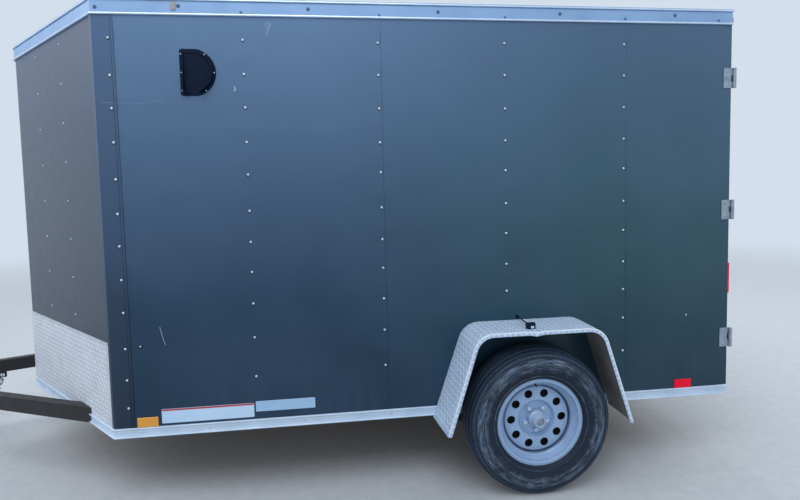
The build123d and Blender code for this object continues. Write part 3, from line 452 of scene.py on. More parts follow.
def worn_steel(name, colour, under, share, gloss, metallic, grain_mm, depth_mm):
    """Enamel or bare iron that wears through to a second colour in patches."""
    material, tree, where = begin(name, colour, {"Metallic": metallic})
    patches = add(tree, "TexNoise", {"Vector": where, "Scale": 1 / (grain_mm * MM), "Detail": 6.0,
                                     "Roughness": 0.65})
    edge = 0.62 - share * 0.3
    cover = add(tree, "MapRange", {0: patches, 1: edge, 2: edge + 0.12, 4: 0.85})
    colours = add(tree, "Mix", {0: cover, 6: colour, 7: under}, data_type="RGBA")
    sheen = add(tree, "MapRange", {0: patches, 1: 0.35, 2: 0.75, 3: gloss, 4: gloss + 0.3})
    grit = add(tree, "TexNoise", {"Vector": where, "Scale": 6 / (grain_mm * MM), "Detail": 4.0})
    return finish(material, {"Base Color": colours, "Roughness": sheen}, grit, depth_mm)


frame_enamel = worn_steel("black_frame_enamel", "#17191C", "#3B2D24", 0.15, 0.42, 0.0, 45, 0.15)
cast_iron = worn_steel("rubbed_cast_iron", "#AEC4DC", "#7C746B", 0.22, 0.42, 0.3, 22, 0.3)
dress(frame_enamel, "side_rails", "crossmembers", "nose_frame", "tongue_tubes", "axle_beam", "axle_seats",
      "spring_hangers", "leaf_springs", "coupler", "rear_sill", "u_bolts", "chain_tabs")
dress(cast_iron, "hub_left", "hub_right")

# %% [markdown]
# ### Lenses, plastics and wood
# Lenses are acrylic with a grid of small prisms moulded inside, drawn as fine bumps under a clear gloss
# coat. Vent and lamp housings are grained ABS, and seals are dull rubber. The boards are rotary-cut
# plywood, whose grain runs long and wavy.

# %% Lenses


def prism_lens(name, colour, dark):
    """Moulded acrylic lens with rows of 5 mm prisms."""
    material, tree, where = begin(name, colour, {"Roughness": 0.35, "Coat Weight": 0.15,
                                                         "Coat Roughness": 0.06,
                                                         "Specular IOR Level": 0.15})
    cells = add(tree, "TexVoronoi", {"Vector": where, "Scale": 1 / (5 * MM), "Randomness": 0.0})
    tone = add(tree, "ValToRGB", {0: cells}, [(0.0, colour), (0.6, dark)])
    return finish(material, {"Base Color": tone}, cells, 0.5)


amber_lens = prism_lens("amber_prism_lens", "#E8AE50", "#DA9A44")
red_lens = prism_lens("red_prism_lens", "#FF0838", "#F00030")
dress(amber_lens, "amber_reflectors")
dress(red_lens, "red_reflectors", "tail_lamps", "rear_marker_lamps")

# %% Plastics and wood


def grained(name, colour, pale, gloss, grain_mm, stretch, depth_mm, specular=0.5):
    """Plastic, rubber or wood: two tones and a relief that follow one grain."""
    material, tree, where = begin(name, colour, {"Roughness": gloss, "Specular IOR Level": specular})
    scale = [1 / (grain_mm * MM * s) for s in stretch]
    stretched = add(tree, "Mapping", {0: where, "Scale": scale})
    grain = add(tree, "TexNoise", {"Vector": stretched, "Scale": 1.0, "Detail": 6.0, "Roughness": 0.6})
    tone = add(tree, "ValToRGB", {0: grain}, [(0.32, colour), (0.7, pale)])
    return finish(material, {"Base Color": tone}, grain, depth_mm)


black_plastic = grained("grained_black_abs", "#061226", "#0D1E38", 0.55, 4, (1, 1, 1), 0.12, 0.1)
seal_rubber = grained("black_seal_rubber", "#111214", "#1E2023", 0.7, 6, (1, 1, 1), 0.1)
board = grained("floor_plywood", "#9A7548", "#B99767", 0.62, 22, (18, 1, 1), 0.2)
lining_board = grained("lining_plywood", "#B4915F", "#CDB083", 0.6, 24, (1, 1, 18), 0.15)
dress(black_plastic, "side_vents", "fender_lamps")
dress(board, "floor_deck")

# %% [markdown]
# ### Wheel enamel and tyre rubber
# Both finishes follow the wheel round, so the material first measures the distance from the axle and the
# angle about it. The rim is silver enamel. Its colour carries painted shade: dark rings in the corner of its
# dish and in the steps of its barrel, broken up by noise, and a near-black inboard side of its barrel, which
# is why its holes look black. Rubber is near black and scatters light, but a parked trailer's tyre is greyed
# with dust. Water dries on the sidewall in fine rings, so the noise is stretched along the angle, and the
# dust is strongest in bands at given radii. Brown mud stays in patches between them.

# %% Distance and angle about the axle
disc_face = 1042.5 * MM


def about_axle(tree, where):
    """Distance from the axle, angle about it, and distance from the trailer's middle."""
    centred = add(tree, "Mapping", {0: where, "Location": (-axle.x, 0, -axle.z)})
    flat = add(tree, "VectorMath", {0: centred, 1: (1, 0, 1)}, operation="MULTIPLY")
    radius = add(tree, "VectorMath", {0: flat}, operation="LENGTH")
    parts = add(tree, "SeparateXYZ", {0: centred}).node.outputs
    angle = add(tree, "Math", {0: parts[0], 1: parts[2]}, operation="ARCTAN2")
    across = add(tree, "Math", {0: parts[1]}, operation="ABSOLUTE")
    return radius, angle, across


print("the disc stands", round(disc_face, 4), "from the middle")

# %% Silver wheel enamel


def wheel_silver(name, colour, dusty, painted_inboard_shade):
    """Silver enamel with painted shade in its corners and steps, and a painted dark inboard side."""
    material, tree, where = begin(name, colour, {"Metallic": 0.2})
    radius, angle, across = about_axle(tree, where)
    along = add(tree, "MapRange", {0: radius, 1: 0.04, 2: 0.21})
    # Painted shade: dark rings in the corner of the dish and in the steps of the barrel, broken up by noise.
    corner = [(0.0, "#000000"), (1.0, "#303030"), (0.52, "#101010"), (0.66, "#909090"), (0.735, "#F0F0F0"),
              (0.757, "#505050"), (0.775, "#808080"), (0.79, "#282828"), (0.815, "#A0A0A0"),
              (0.83, "#303030"), (0.86, "#B0B0B0"), (0.876, "#404040"), (0.89, "#101010"),
              (0.94, "#202020"), (0.965, "#A8A8A8")]
    ring = add(tree, "ValToRGB", {0: along}, corner)
    patches = add(tree, "TexNoise", {"Vector": where, "Scale": 1 / (30 * MM), "Detail": 6.0})
    uneven = add(tree, "MapRange", {0: patches, 1: 0.3, 2: 0.7, 3: 0.5})
    share = add(tree, "Math", {0: ring, 1: uneven}, operation="MULTIPLY")
    dust = add(tree, "Mix", {0: share, 6: colour, 7: dusty}, data_type="RGBA")
    # Painted shade: the inboard side of the barrel goes near black.
    inboard = add(tree, "MapRange", {0: across, 1: disc_face - 1 * MM, 2: disc_face - 9 * MM})
    both = add(tree, "Mix", {0: inboard, 6: dust, 7: painted_inboard_shade}, data_type="RGBA")
    sheen = add(tree, "MapRange", {0: inboard, 3: 0.34, 4: 0.9})
    return finish(material, {"Base Color": both, "Roughness": sheen}, patches, 0.05)


# The second colour is the painted shade of the corners, the third the painted shade of the inboard side.
wheel_enamel = wheel_silver("silver_wheel_enamel", "#97B2D4", "#3A4C64", "#0A0D12")
dress(wheel_enamel, "rim_left", "rim_right")

# %% Tyre rubber


def tyre_rubber(name, colour, dusty, muddy):
    """Rubber with fine rings of dried dust and patches of mud."""
    material, tree, where = begin(name, colour, {"Roughness": 0.6, "Specular IOR Level": 0.3})
    radius, angle, across = about_axle(tree, where)
    polar = add(tree, "CombineXYZ", {0: radius, 1: angle})
    stretched = add(tree, "Mapping", {0: polar, "Scale": (1 / (4 * MM), 5.0, 1)})
    rings = add(tree, "TexNoise", {"Vector": stretched, "Scale": 1.0, "Detail": 5.0, "Roughness": 0.6})
    fine = add(tree, "MapRange", {0: rings, 1: 0.4, 2: 0.7})
    haze = add(tree, "TexNoise", {"Vector": where, "Scale": 1 / (120 * MM), "Detail": 4.0})
    cover = add(tree, "MapRange", {0: haze, 1: 0.32, 2: 0.66, 3: 0.25, 4: 1.0})
    patchy = add(tree, "Math", {0: fine, 1: cover}, operation="MULTIPLY")
    along = add(tree, "MapRange", {0: radius, 1: 0.19, 2: 0.343})
    # The dust is strongest in bands at given radii over the sidewall.
    raised = [(0.0, "#101010"), (1.0, "#080808"), (0.2, "#383838"), (0.23, "#D8D8D8"), (0.26, "#303030"),
              (0.42, "#505050"), (0.5, "#E8E8E8"), (0.56, "#A0A0A0"), (0.68, "#FFFFFF"), (0.72, "#F0F0F0"),
              (0.8, "#484848"), (0.88, "#585858")]
    band_share = add(tree, "ValToRGB", {0: along}, raised)
    dust = add(tree, "Math", {0: patchy, 1: band_share}, operation="MULTIPLY")
    grey = add(tree, "Mix", {0: dust, 6: colour, 7: dusty}, data_type="RGBA")
    belt = [(0.0, "#000000"), (1.0, "#000000"), (0.3, "#181818"), (0.46, "#C8C8C8"), (0.66, "#B0B0B0"),
            (0.76, "#080808")]
    band = add(tree, "ValToRGB", {0: along}, belt)
    stain = add(tree, "TexNoise", {"Vector": where, "Scale": 1 / (38 * MM), "Detail": 8.0,
                                   "Roughness": 0.7})
    spots = add(tree, "MapRange", {0: stain, 1: 0.52, 2: 0.78})
    share = add(tree, "Math", {0: band, 1: spots}, operation="MULTIPLY")
    soiled = add(tree, "Mix", {0: share, 6: grey, 7: muddy}, data_type="RGBA")
    pores = add(tree, "TexNoise", {"Vector": where, "Scale": 1 / (5 * MM), "Detail": 4.0})
    return finish(material, {"Base Color": soiled}, pores, 0.2)


rubber = tyre_rubber("road_dusted_rubber", "#0F1D2E", "#8CA5C2", "#8A8D92")
# A paler copy of the rubber for the tread's tops: partly dust, partly painted light, so that the darker
# grooves read as painted shade.
tread_tops_dust_and_shade = tyre_rubber("tread_tops_dust_and_painted_shade", "#3A4B60", "#6C83A0", "#6C83A0")
print(rubber.name, "has rings centred on", [round(v, 3) for v in axle])

# %% [markdown]
# ## Wall skins
# Each wall is clad with pre-painted sheets, 0.8 mm thick, screwed to posts. A screw pulls the sheet in, so
# each sits in a shallow dimple, and between the posts the sheet bows out a little. That relief is what
# makes the reflections of a real trailer wall wander. A fine grid with a vertex weight for the height of
# each point, raised by a Displace modifier, gives it and stays easy to tune. The front sheet laps over the
# one behind it, so its rear edge stands higher.

# %% Screw places on the road-side wall
post_columns = {
    638: (1754, 1592, 1448, 1299, 1136, 982, 837, 685, 535, 369, 224, 93),
    0: (1751, 1599, 1450, 1294, 1147, 980, 837, 697, 550, 390, 204),
    -610: (1745, 1597, 1443, 1286, 1146, 980, 829, 692, 544, 392, 219),
    -1219: (1750, 1599, 1441, 1288, 1144, 984, 838, 686, 552),
    -1829: (1751, 1600, 1445, 1290, 1143, 980, 834, 674, 533, 386, 216),
}
corner_screw = 65
seams = [x_column + x * MM for x in (-622, -1841)]
road_screws = [(x_corner - corner_screw * MM if x == 638 else x_column + x * MM, trim_top + z * MM)
               for x, heights in post_columns.items() for z in heights]
print(len(road_screws), "screws on the road side, seams at", [round(x, 3) for x in seams])

# %% Height of a skin
post_pitch = 610 * MM
skin_low, skin_bow, skin_dimple = 2.0, 0.8, 2.2
skin_least, skin_reach = 0.15, 4.0
dimple_radius = 46 * MM
lap_rise, lap_width = 0.9, 50 * MM
swell_length, swell_height = 0.16, 0.30
waves = random.Random(11)
swells = [(waves.uniform(x_post, x_corner), waves.uniform(trim_top, rail_low), waves.uniform(-0.22, 0.28))
          for _ in range(26)]


def skin_height(x, z, x_range, screws, lapped):
    """Height of the sheet over the wall in mm: bow, swells, dimples and a raised lap."""
    bay = np.sin(np.pi * np.mod(x - x_column - 0.3 * MM, post_pitch) / post_pitch)
    height = skin_low + skin_bow * bay
    for x_swell, z_swell, rise in swells:
        away = ((x - x_swell) / swell_length) ** 2 + ((z - z_swell) / swell_height) ** 2
        height = height + rise * np.exp(-away)
    if lapped:
        height = height + lap_rise * np.clip(1 - (x - x_range[0]) / lap_width, 0, 1)
    for x_screw, z_screw in screws:
        away = ((x - x_screw) ** 2 + (z - z_screw) ** 2) / dimple_radius ** 2
        height = height - skin_dimple * np.exp(-away)
    return np.clip(height, skin_least, skin_reach)


def skin(x_range, cell, screws, lapped):
    """One sheet of the road-side wall, with its relief and its cut edges."""
    width, height = x_range[1] - x_range[0], rail_low - trim_top
    middle = (sum(x_range) / 2, wall_y, (trim_top + rail_low) / 2)
    bpy.ops.mesh.primitive_grid_add(x_subdivisions=round(width / cell), y_subdivisions=round(height / cell),
                                    size=1, location=middle, rotation=(-math.pi / 2, 0, 0))
    sheet = bpy.context.object
    sheet.scale = (width, height, 1)
    settle(sheet)
    points = np.array([v.co for v in sheet.data.vertices])
    weights = skin_height(points[:, 0], points[:, 2], x_range, screws, lapped) / skin_reach
    displaced(sheet, weights, "Y", skin_reach * MM)
    return modify(sheet, "SOLIDIFY", thickness=0.5 * MM, offset=-1, use_rim=True, use_rim_only=True)


print("skins stand up to", skin_reach, "mm over the wall")

# %% Road-side skins
trim_reach, seam_lap = 10 * MM, 2 * MM
skin_cell = 14 * MM
road_ranges = [(seams[0], trim_edge + trim_reach), (seams[1], seams[0] + seam_lap),
               (x_post, seams[1] + seam_lap)]
road_sheets = [skin(span, skin_cell, road_screws, k < 2) for k, span in enumerate(road_ranges)]
hand_in(road_sheets[0], "road_side_front_skin", skin_paint, smooth=30)
hand_in(join(road_sheets[1:]), "road_side_rear_skins", skin_paint, smooth=30)

# %% [markdown]
# The kerb side is a mirror of the road side with a doorway in it. The doorway is picked out of the grid by
# the places of its faces, and its ragged edge hides under the door frame's flange.

# %% Kerb-side skins
door_low, door_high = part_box("side_door_frame")
flange_cover, screw_clear = 16 * MM, 20 * MM
kerb_cell = 22 * MM
kerb_screws = [(x, z) for x, z in road_screws
               if z >= door_high.z + screw_clear
               or not door_low.x - screw_clear < x < door_high.x + screw_clear]
kerb_ranges = [(seams[0], trim_edge + trim_reach), (x_post, seams[0] + seam_lap)]
kerb_sheets = []
for k, span in enumerate(kerb_ranges):
    model = skin(span, kerb_cell, kerb_screws, k < 1)
    sheet = mirrored(model)
    bpy.data.objects.remove(model)
    edit(sheet, lambda c, n: door_low.x + flange_cover < c.x < door_high.x - flange_cover
         and door_low.z + flange_cover < c.z < door_high.z - flange_cover)
    bpy.ops.mesh.delete(type="FACE")
    kerb_sheets.append(done(sheet))
for piece, end in zip(kerb_sheets, ("front", "rear")):
    hand_in(piece, f"kerb_side_{end}_skin", skin_paint, smooth=30)

# %% [markdown]
# ## Screws
# Skins and trims are held by small hex-head screws with a pressed washer face. One is modelled from a
# twelve-sided disc, inset and raised to a hexagon, and copied. Hundreds are needed, so it stays light.

# %% One hex washer-head screw


def upper(middle, normal):
    """A test for faces that look up."""
    return normal.z > 0.9


def inset(*steps):
    """Insets the selected faces, by a width and a depth in mm for each step."""
    for width, depth in steps:
        bpy.ops.mesh.inset(thickness=width * MM, depth=depth * MM)


def disc(sides, radius_mm, thick_mm, middle=None, turn=(0, 0, 0)):
    """A disc or a prism, standing on Z = 0 if no middle is given."""
    bpy.ops.mesh.primitive_cylinder_add(vertices=sides, radius=radius_mm * MM, depth=thick_mm * MM,
                                        location=middle or (0, 0, thick_mm / 2 * MM), rotation=turn)
    return settle(bpy.context.object)


def open_below(piece):
    """Takes out the face that sits on the wall, which nobody sees, and leaves edit mode."""
    pick(piece, lambda middle, normal: normal.z < -0.9)
    bpy.ops.mesh.delete(type="FACE")
    return done(piece)


def washer_screw(flange_mm, head_mm, height_mm):
    """A screw head standing on Z = 0: a washer disc with a chamfered hexagon on it."""
    washer = edit(disc(12, flange_mm, 1), upper)
    inset(((flange_mm - head_mm) * 0.6, 0.4))
    open_below(washer)
    head = edit(disc(6, head_mm, height_mm, (0, 0, (1 + height_mm / 2) * MM)), upper)
    inset((0.5, 0.4))
    return join([washer, open_below(head)])


def spread(start, end, pitch):
    """Even places from start to end, no further apart than a pitch."""
    count = max(1, math.ceil((end - start) / pitch - 1e-6))
    return [start + (end - start) * k / count for k in range(count + 1)]


print("places 305 mm apart on a metre:", [round(v, 3) for v in spread(0, 1, 0.305)])

# %% Screws in the skins
screw_bed = 3.0


def on_wall(x, z, proud_mm, side=1):
    """A place on a side wall, some mm proud of its face."""
    return stand((x, side * (wall_y + proud_mm * MM), z), (0, side, 0))


screw_places = [on_wall(x, z, screw_bed if x > trim_edge else 0.3) for x, z in road_screws]
screw_places += [on_wall(x, z, screw_bed if x > trim_edge else 0.2, -1) for x, z in kerb_screws]
hand_in(copies(washer_screw(5.6, 4.0, 3.2), screw_places), "skin_screws", screw_zinc)

# %% [markdown]
# A dark rubber disc sits under each head, a little lower than it, as a painted shadow: it draws the dark
# crescent that every screw on the wall has.

# %% Painted shadows under the screws
# Painted shadow: a dark disc under each head, shifted 2.4 mm down.
washer = edit(disc(12, 7.4, 0.8, (0, -2.4 * MM, 0.4 * MM)), upper)
inset((0.8, 0.2))
hand_in(copies(open_below(washer), screw_places), "screw_painted_shadows", seal_rubber)

# %% Screws in the trims
trim_proud = 5
rail_heads = [(690, 2260), (342, 2270), (73, 2244), (-224, 2267), (-548, 2242), (-826, 2265), (-1150, 2243),
              (-1425, 2267), (-1760, 2246), (-2024, 2270), (-2260, 2246)]
rail_places = [on_wall(x * MM, z * MM, trim_proud, side) for side in (1, -1) for x, z in rail_heads]
hand_in(copies(washer_screw(8.6, 5.6, 2.4), rail_places), "rail_screws", trim_paint)
low_places = [on_wall(x * MM, 356 * MM, trim_proud, side)
              for side in (1, -1) for x in (588, 295, -146, -560, -1880, -2230)]
hand_in(copies(washer_screw(6.4, 4.4, 2.2), low_places), "bottom_trim_screws", screw_zinc)

# %% [markdown]
# ## A path with rounded corners
# Fenders and the stone guard are sheets folded round corners. Both follow a line that is straight between
# folds and round at them. One function lists its runs, and another gives the place at any length along it.

# %% Folded line


def runs_of(corners, radius):
    """Straights and arcs through 2-D corners: start, direction, length, turn and centre of each."""
    runs, start = [], Vector(corners[0])
    for before, corner, after in zip(corners, corners[1:], corners[2:]):
        into = (Vector(corner) - Vector(before)).normalized()
        out = (Vector(after) - Vector(corner)).normalized()
        turn = into.angle_signed(out)
        cut = radius * math.tan(abs(turn) / 2)
        arc = Vector(corner) - into * cut
        inward = Vector((-into.y, into.x)) * math.copysign(radius, -turn)
        runs += [(start, into, (arc - start).length, 0.0, None),
                 (arc, into, radius * abs(turn), turn, arc + inward)]
        start = Vector(corner) + out * cut
    last = Vector(corners[-1]) - start
    return runs + [(start, last.normalized(), last.length, 0.0, None)]


def folded_line(corners, radius):
    """Length of a line with rounded corners, and the place at any length along it."""
    runs = runs_of(corners, radius)

    def at(s):
        """Point and direction at a length along the line."""
        for run in runs:
            start, into, length, turn, centre = run
            if s <= length or run is runs[-1]:
                swing = Matrix.Rotation(-turn * s / length, 2)
                return centre + swing @ (start - centre) if turn else start + into * s, swing @ into
            s -= length
    return sum(run[2] for run in runs), at


length, at = folded_line([(0, 0), (1, 0), (1, 1)], 0.1)
print("a square corner of 100 mm radius: length", round(length, 4), "end", at(length)[0])

# %% [markdown]
# ## Fenders
# A fender is one strip of tread plate folded over the wheel: a level top, a bend and a leg at each end,
# with a lip turned down along its outer edge and a flange screwed to the wall. It is made as a brake press
# makes it. The cross-section starts at the front foot, is extruded along each straight, and is spun round
# each bend. Then the feet are cut level.

# %% Cross-section and fold line
fender_low, fender_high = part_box("fender_left")
sheet = 3 * MM
bend = 100 * MM
lip, flange = 18 * MM, 28 * MM
foot_spare = 60 * MM
foot, crook = Vector((446, 321)) * MM, Vector((298.5, 784)) * MM
foot += (foot - crook).normalized() * foot_spare
fender_line = [(axle.x + foot.x, foot.y), (axle.x + crook.x, crook.y)]
fender_line += [(axle.x - crook.x, crook.y), (axle.x - foot.x, foot.y)]
bars_proud = 1.2 * MM
face_y = fender_high.y - bars_proud
edge_round = 3 * MM
section = [(wall_y + 0.3 * MM, flange), (wall_y + 0.3 * MM, edge_round), (wall_y + edge_round, bars_proud)]
for angle in (math.pi / 8 * k for k in range(5)):
    section.append((face_y - edge_round * (1 - math.sin(angle)),
                    bars_proud + edge_round * (1 - math.cos(angle))))
section.append((face_y, lip))
print("section of", len(section), "points from the wall to", round(face_y, 4))

# %% Fold the fender


def fold(runs, steps):
    """Carries the selected edges along runs in the XZ plane: extruded on straights, spun round bends."""
    for start, into, length, turn, centre in runs:
        if turn:
            bpy.ops.mesh.spin(steps=steps, angle=-turn, center=(centre.x, 0, centre.y), axis=(0, 1, 0))
        else:
            run = (into.x * length, 0, into.y * length)
            bpy.ops.mesh.extrude_region_move(TRANSFORM_OT_translate={"value": run})


def cut(place, normal):
    """Cuts the whole open piece through by a plane."""
    bpy.ops.mesh.select_all(action="SELECT")
    bpy.ops.mesh.bisect(plane_co=place, plane_no=normal)


start, leg = runs_of(fender_line, bend)[0][:2]
fender = wire("fender", [(start.x - leg.y * n, y, start.y + leg.x * n) for y, n in section])
fold(runs_of(fender_line, bend), 10)
bpy.ops.mesh.select_all(action="SELECT")
bpy.ops.mesh.remove_doubles(threshold=0.01 * MM)
print("folded from the foot at", [round(v, 3) for v in start])

# %% [markdown]
# Rows of cuts give the flare and the dent points to move, and two of them mark where the feet end and
# where the flange stops at the trim.

# %% Cut the rows and the feet
flange_end = trim_top + 2 * MM
flange_face = wall_y + 9 * MM
for height in (fender_low.z, flange_end, *spread(trim_top + 60 * MM, 680 * MM, 60 * MM)):
    cut((0, 0, height), (0, 0, 1))
for across in spread(wall_y + 30 * MM, face_y - 20 * MM, 40 * MM):
    cut((0, across, 0), (0, 1, 0))
dent_x = axle.x + 26 * MM
for along in (-45, -30, -18, -8, 0, 8, 18, 30, 45):
    cut((dent_x + along * MM, 0, 0), (1, 0, 0))
pick(fender, lambda c, n: c.z < fender_low.z or (c.z < flange_end and c.y < flange_face))
bpy.ops.mesh.delete(type="FACE")
close_up(fender)
print("fender:", len(fender.data.polygons), "faces")

# %% [markdown]
# Someone has pulled the front leg's inner edge forward, so the leg flares towards the wall. A vertex weight
# gives each point its share of the pull, and a Displace modifier along X makes it, for the plate and for
# the bars on it alike. A knock has left a small dent in the road side's outer edge, made the same way.

# %% Flare of the front leg
flare, flare_start, flare_run, leg_height = 24, 100, 180, 460
dent_depth, dent_width, dent_run, dent_share = 6, 20, 34, 30


def flared(piece):
    """Pulls a fender piece forward: most at the wall and at the front foot, not at all behind the bend."""
    points = np.array([v.co for v in piece.data.vertices])
    ahead = np.clip(((points[:, 0] - axle.x) / MM - flare_start) / flare_run, 0, 1)
    low = np.clip((crook.y - points[:, 2]) / MM / leg_height, 0, 1)
    inner = np.clip((face_y - points[:, 1]) / (face_y - wall_y), 0, 1)
    return displaced(piece, ahead * (0.5 + 0.5 * low) * inner, "X", flare * MM)


def dented(piece):
    """Pushes a small dent down into the road-side fender's outer edge, above the wheel."""
    points = np.array([v.co for v in piece.data.vertices])
    near = np.exp(-((points[:, 0] - dent_x) / (dent_width * MM)) ** 2)
    outer = np.clip(((points[:, 1] - face_y) / MM + dent_run) / dent_share, 0, 1)
    return displaced(piece, near * outer, "Z", -dent_depth * MM)


flared(fender)
front = max(v.co.x for v in fender.data.vertices) - axle.x
print("front foot now reaches", round(front, 3), "m ahead of the axle")

# %% Thickness, and the fender in place of its solid


def second_finish(piece, material, test):
    """Gives the faces that pass a test a second finish."""
    piece.data.materials.append(material)
    for face in piece.data.polygons:
        face.material_index = int(test(face.center, face.normal))


def under_plate(c, n):
    """A test for faces that look towards the axle."""
    return n.dot(Vector((axle.x - c.x, 0, axle.z - c.z)).normalized()) > 0.3


fenders = [modify(dented(piece), "SOLIDIFY", thickness=sheet * 0.6, offset=-1) for piece in both(fender)]
hand_in_pair(fenders, "folded_fender", tread_plate)
for piece, side in zip(fenders, ("left", "right")):
    # Painted shade: faces that look towards the axle get the darker plate back.
    second_finish(piece, plate_back, under_plate)
    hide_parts(f"fender_{side}")

# %% [markdown]
# ### Tread bars
# The plate's grip pattern is short raised bars that lie across each other in a basket weave. One bar is an
# eight-sided disc stretched to a lens and raised with a smaller top. It is copied over the folded line,
# turned 45 degrees one way and the other in turn.

# %% One tread bar


def draw_up(*steps):
    """Draws the selected face upwards: a rise in mm and the scales along X and Y for each step."""
    for rise, wide, deep in steps:
        bpy.ops.mesh.extrude_region_move(TRANSFORM_OT_translate={"value": (0, 0, rise * MM)})
        bpy.ops.transform.resize(value=(wide, deep, 1))


def tread_bar(length_mm, width_mm, height_mm):
    """A low bar with tapered sides, standing on Z = 0 along X."""
    bpy.ops.mesh.primitive_circle_add(vertices=8, radius=0.5, fill_type="NGON")
    bar = bpy.context.object
    bar.scale = (length_mm * MM, width_mm * MM, 1)
    edit(settle(bar))
    draw_up((height_mm, 0.72, 0.5))
    return done(bar)


def weave(line, radius, rows, pitch, place_on):
    """Bars over a folded line: across each row, turned one way and the other in turn."""
    length, at = folded_line(line, radius)
    count = int(length / pitch)
    places = [place_on(*at((i + 0.5) * length / count), across, 45 if (i + j) % 2 else -45)
              for i in range(count) for j, across in enumerate(rows)]
    return [place for place in places if place]


bar_pitch = 25 * MM
print("a bar every", round(bar_pitch / MM), "mm")

# %% Bars on the fenders
lip_row = "lip"
sunk = 0.1 * MM
foot_clear, lip_middle, trim_clear, wall_clear = 12 * MM, 11 * MM, 10 * MM, 20 * MM


def on_fender(point, ahead, across, turn):
    """A bar on the fender's outer face, or on its lip."""
    out = Vector((ahead.y, 0, -ahead.x))
    spot = Vector((point.x, 0, point.y))
    if spot.z < fender_low.z + foot_clear:
        return None
    if across == lip_row:
        return stand(spot - out * lip_middle + Vector((0, face_y - sunk, 0)), (0, 1, 0), out, turn)
    if spot.z < trim_top + trim_clear and across < wall_y + wall_clear:
        return None
    spot.y = across
    return stand(spot - out * (bars_proud + sunk), out, (0, 1, 0), turn)


rows = spread(wall_y + 14 * MM, face_y - 12 * MM, bar_pitch)
bars = copies(tread_bar(26, 8, 1.2), weave(fender_line, bend, rows, bar_pitch, on_fender))
lip_bars = copies(tread_bar(18, 6.5, 1.2), weave(fender_line, bend, [lip_row], bar_pitch, on_fender))
pair = [dented(piece) for piece in both(flared(join([bars, lip_bars])))]
hand_in_pair(pair, "fender_bars", bar_rub_and_painted_highlight)

# %% [markdown]
# ### Stone guard
# The lower nose wears the same plate against stones from the tow car. The solid already has its shape, so
# it only needs the bars, laid round the nose at the solid's own face.

# %% Bars on the stone guard
guard_low, guard_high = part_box("stone_guard")
nose_angle = math.radians(48.5)
nose_radius = 90 * MM
guard_stand, guard_cap, corner_cover = 2.5 * MM, 12 * MM, 38 * MM
half = wall_y + guard_stand / math.cos(nose_angle)
apex = x_corner + half / math.tan(nose_angle)
guard_line = [(x_corner, half), (apex, 0.0), (x_corner, -half)]
rows = spread(guard_low.z + 16 * MM, guard_high.z - guard_cap - 14 * MM, bar_pitch)


def on_guard(point, ahead, across, turn):
    """A bar on the guard's face, clear of the corner trims."""
    out = Vector((-ahead.y, ahead.x, 0))
    if point.x < x_corner + corner_cover:
        return None
    return stand(Vector((point.x, point.y, across)) - out * sunk, out, (0, 0, 1), turn)


guard_bars = copies(tread_bar(26, 8, 1.2), weave(guard_line, nose_radius, rows, bar_pitch, on_guard))
hand_in(guard_bars, "stone_guard_bars", bar_rub_and_painted_highlight)

# %% [markdown]
# ## Tyres
# A trailer tyre has straight ribs, cross-cut shoulders and a plain sidewall with raised rings. Its section
# is drawn once and spun about the axle. Then the faces of the ribs are picked out of the smooth crown, by
# their place across it, and pushed out by the tread's depth, which leaves the grooves behind. The shoulder's
# faces are inset one by one, so that each becomes a small block with a cut on either side.

# %% Tyre section
spin_steps, rib_height = 184, 6
half_section = [(62, 194), (68, 196), (73, 203), (84, 214), (91, 219), (93, 224), (91.5, 228), (96, 240),
                (99.5, 256), (101.2, 272), (102.3, 274), (102.3, 280), (100.6, 282), (98.5, 294),
                (95.6, 306), (93.8, 312), (84.0, 327.5), (66.0, 334.5), (62.0, 333.0), (57.0, 334.0),
                (40.0, 336.0), (35.0, 336.2), (26.0, 336.6), (21.0, 336.7), (8.0, 336.9)]
section = half_section + [(-y, r) for y, r in reversed(half_section)]


def spun(name, outline, middle, steps, closed):
    """A ring spun about the axle from (place across, radius) points in mm."""
    points = [(axle.x, middle + y * MM, axle.z + r * MM) for y, r in outline]
    ring = wire(name, points, closed)
    bpy.ops.mesh.spin(steps=steps, angle=2 * math.pi, center=axle, axis=(0, 1, 0))
    return close_up(ring)


tyre = spun("tyre", section, axle.y, spin_steps, True)
print("tyre:", len(tyre.data.polygons), "faces")

# %% Ribs and shoulder blocks


def polar(c):
    """A point's distances from the wheel's middle plane and from the axle, in mm."""
    return abs(abs(c.y) - axle.y) / MM, math.hypot(c.x - axle.x, c.z - axle.z) / MM


def over(low, high, least):
    """A test for faces of the crown between two distances from the tyre's middle, in mm."""
    return lambda c, n: low < polar(c)[0] < high and polar(c)[1] > least


ribs = [over(-1, 21, 330), over(26, 35, 330), over(40, 57, 330)]
edit(tyre, lambda c, n: any(rib(c, n) for rib in ribs))
bpy.ops.mesh.extrude_region_shrink_fatten(TRANSFORM_OT_shrink_fatten={"value": rib_height * MM,
                                                                      "use_even_offset": True})
for low, high, least, depth in ((62.5, 83.5, 325, 4.5), (84, 93.7, 312, 3.0)):
    pick(tyre, over(low, high, least))
    bpy.ops.mesh.inset(thickness=2.4 * MM, depth=depth * MM, use_individual=True)
done(tyre)
print("tyre reaches", round(max(v.co.z for v in tyre.data.vertices) - axle.z, 4), "from the axle")

# %% Tyres in place of their solids
block_top, shoulder_edge = 3.6, 95
crown_line = [point for point in reversed(half_section) if point[1] > 311]


def block_tops(c, n):
    """A test for the tops of the tread's blocks and ribs, which stand over the moulded crown."""
    across, out = polar(c)
    crown = np.interp(across, [y for y, r in crown_line], [r for y, r in crown_line])
    return across < shoulder_edge and out > crown + block_top


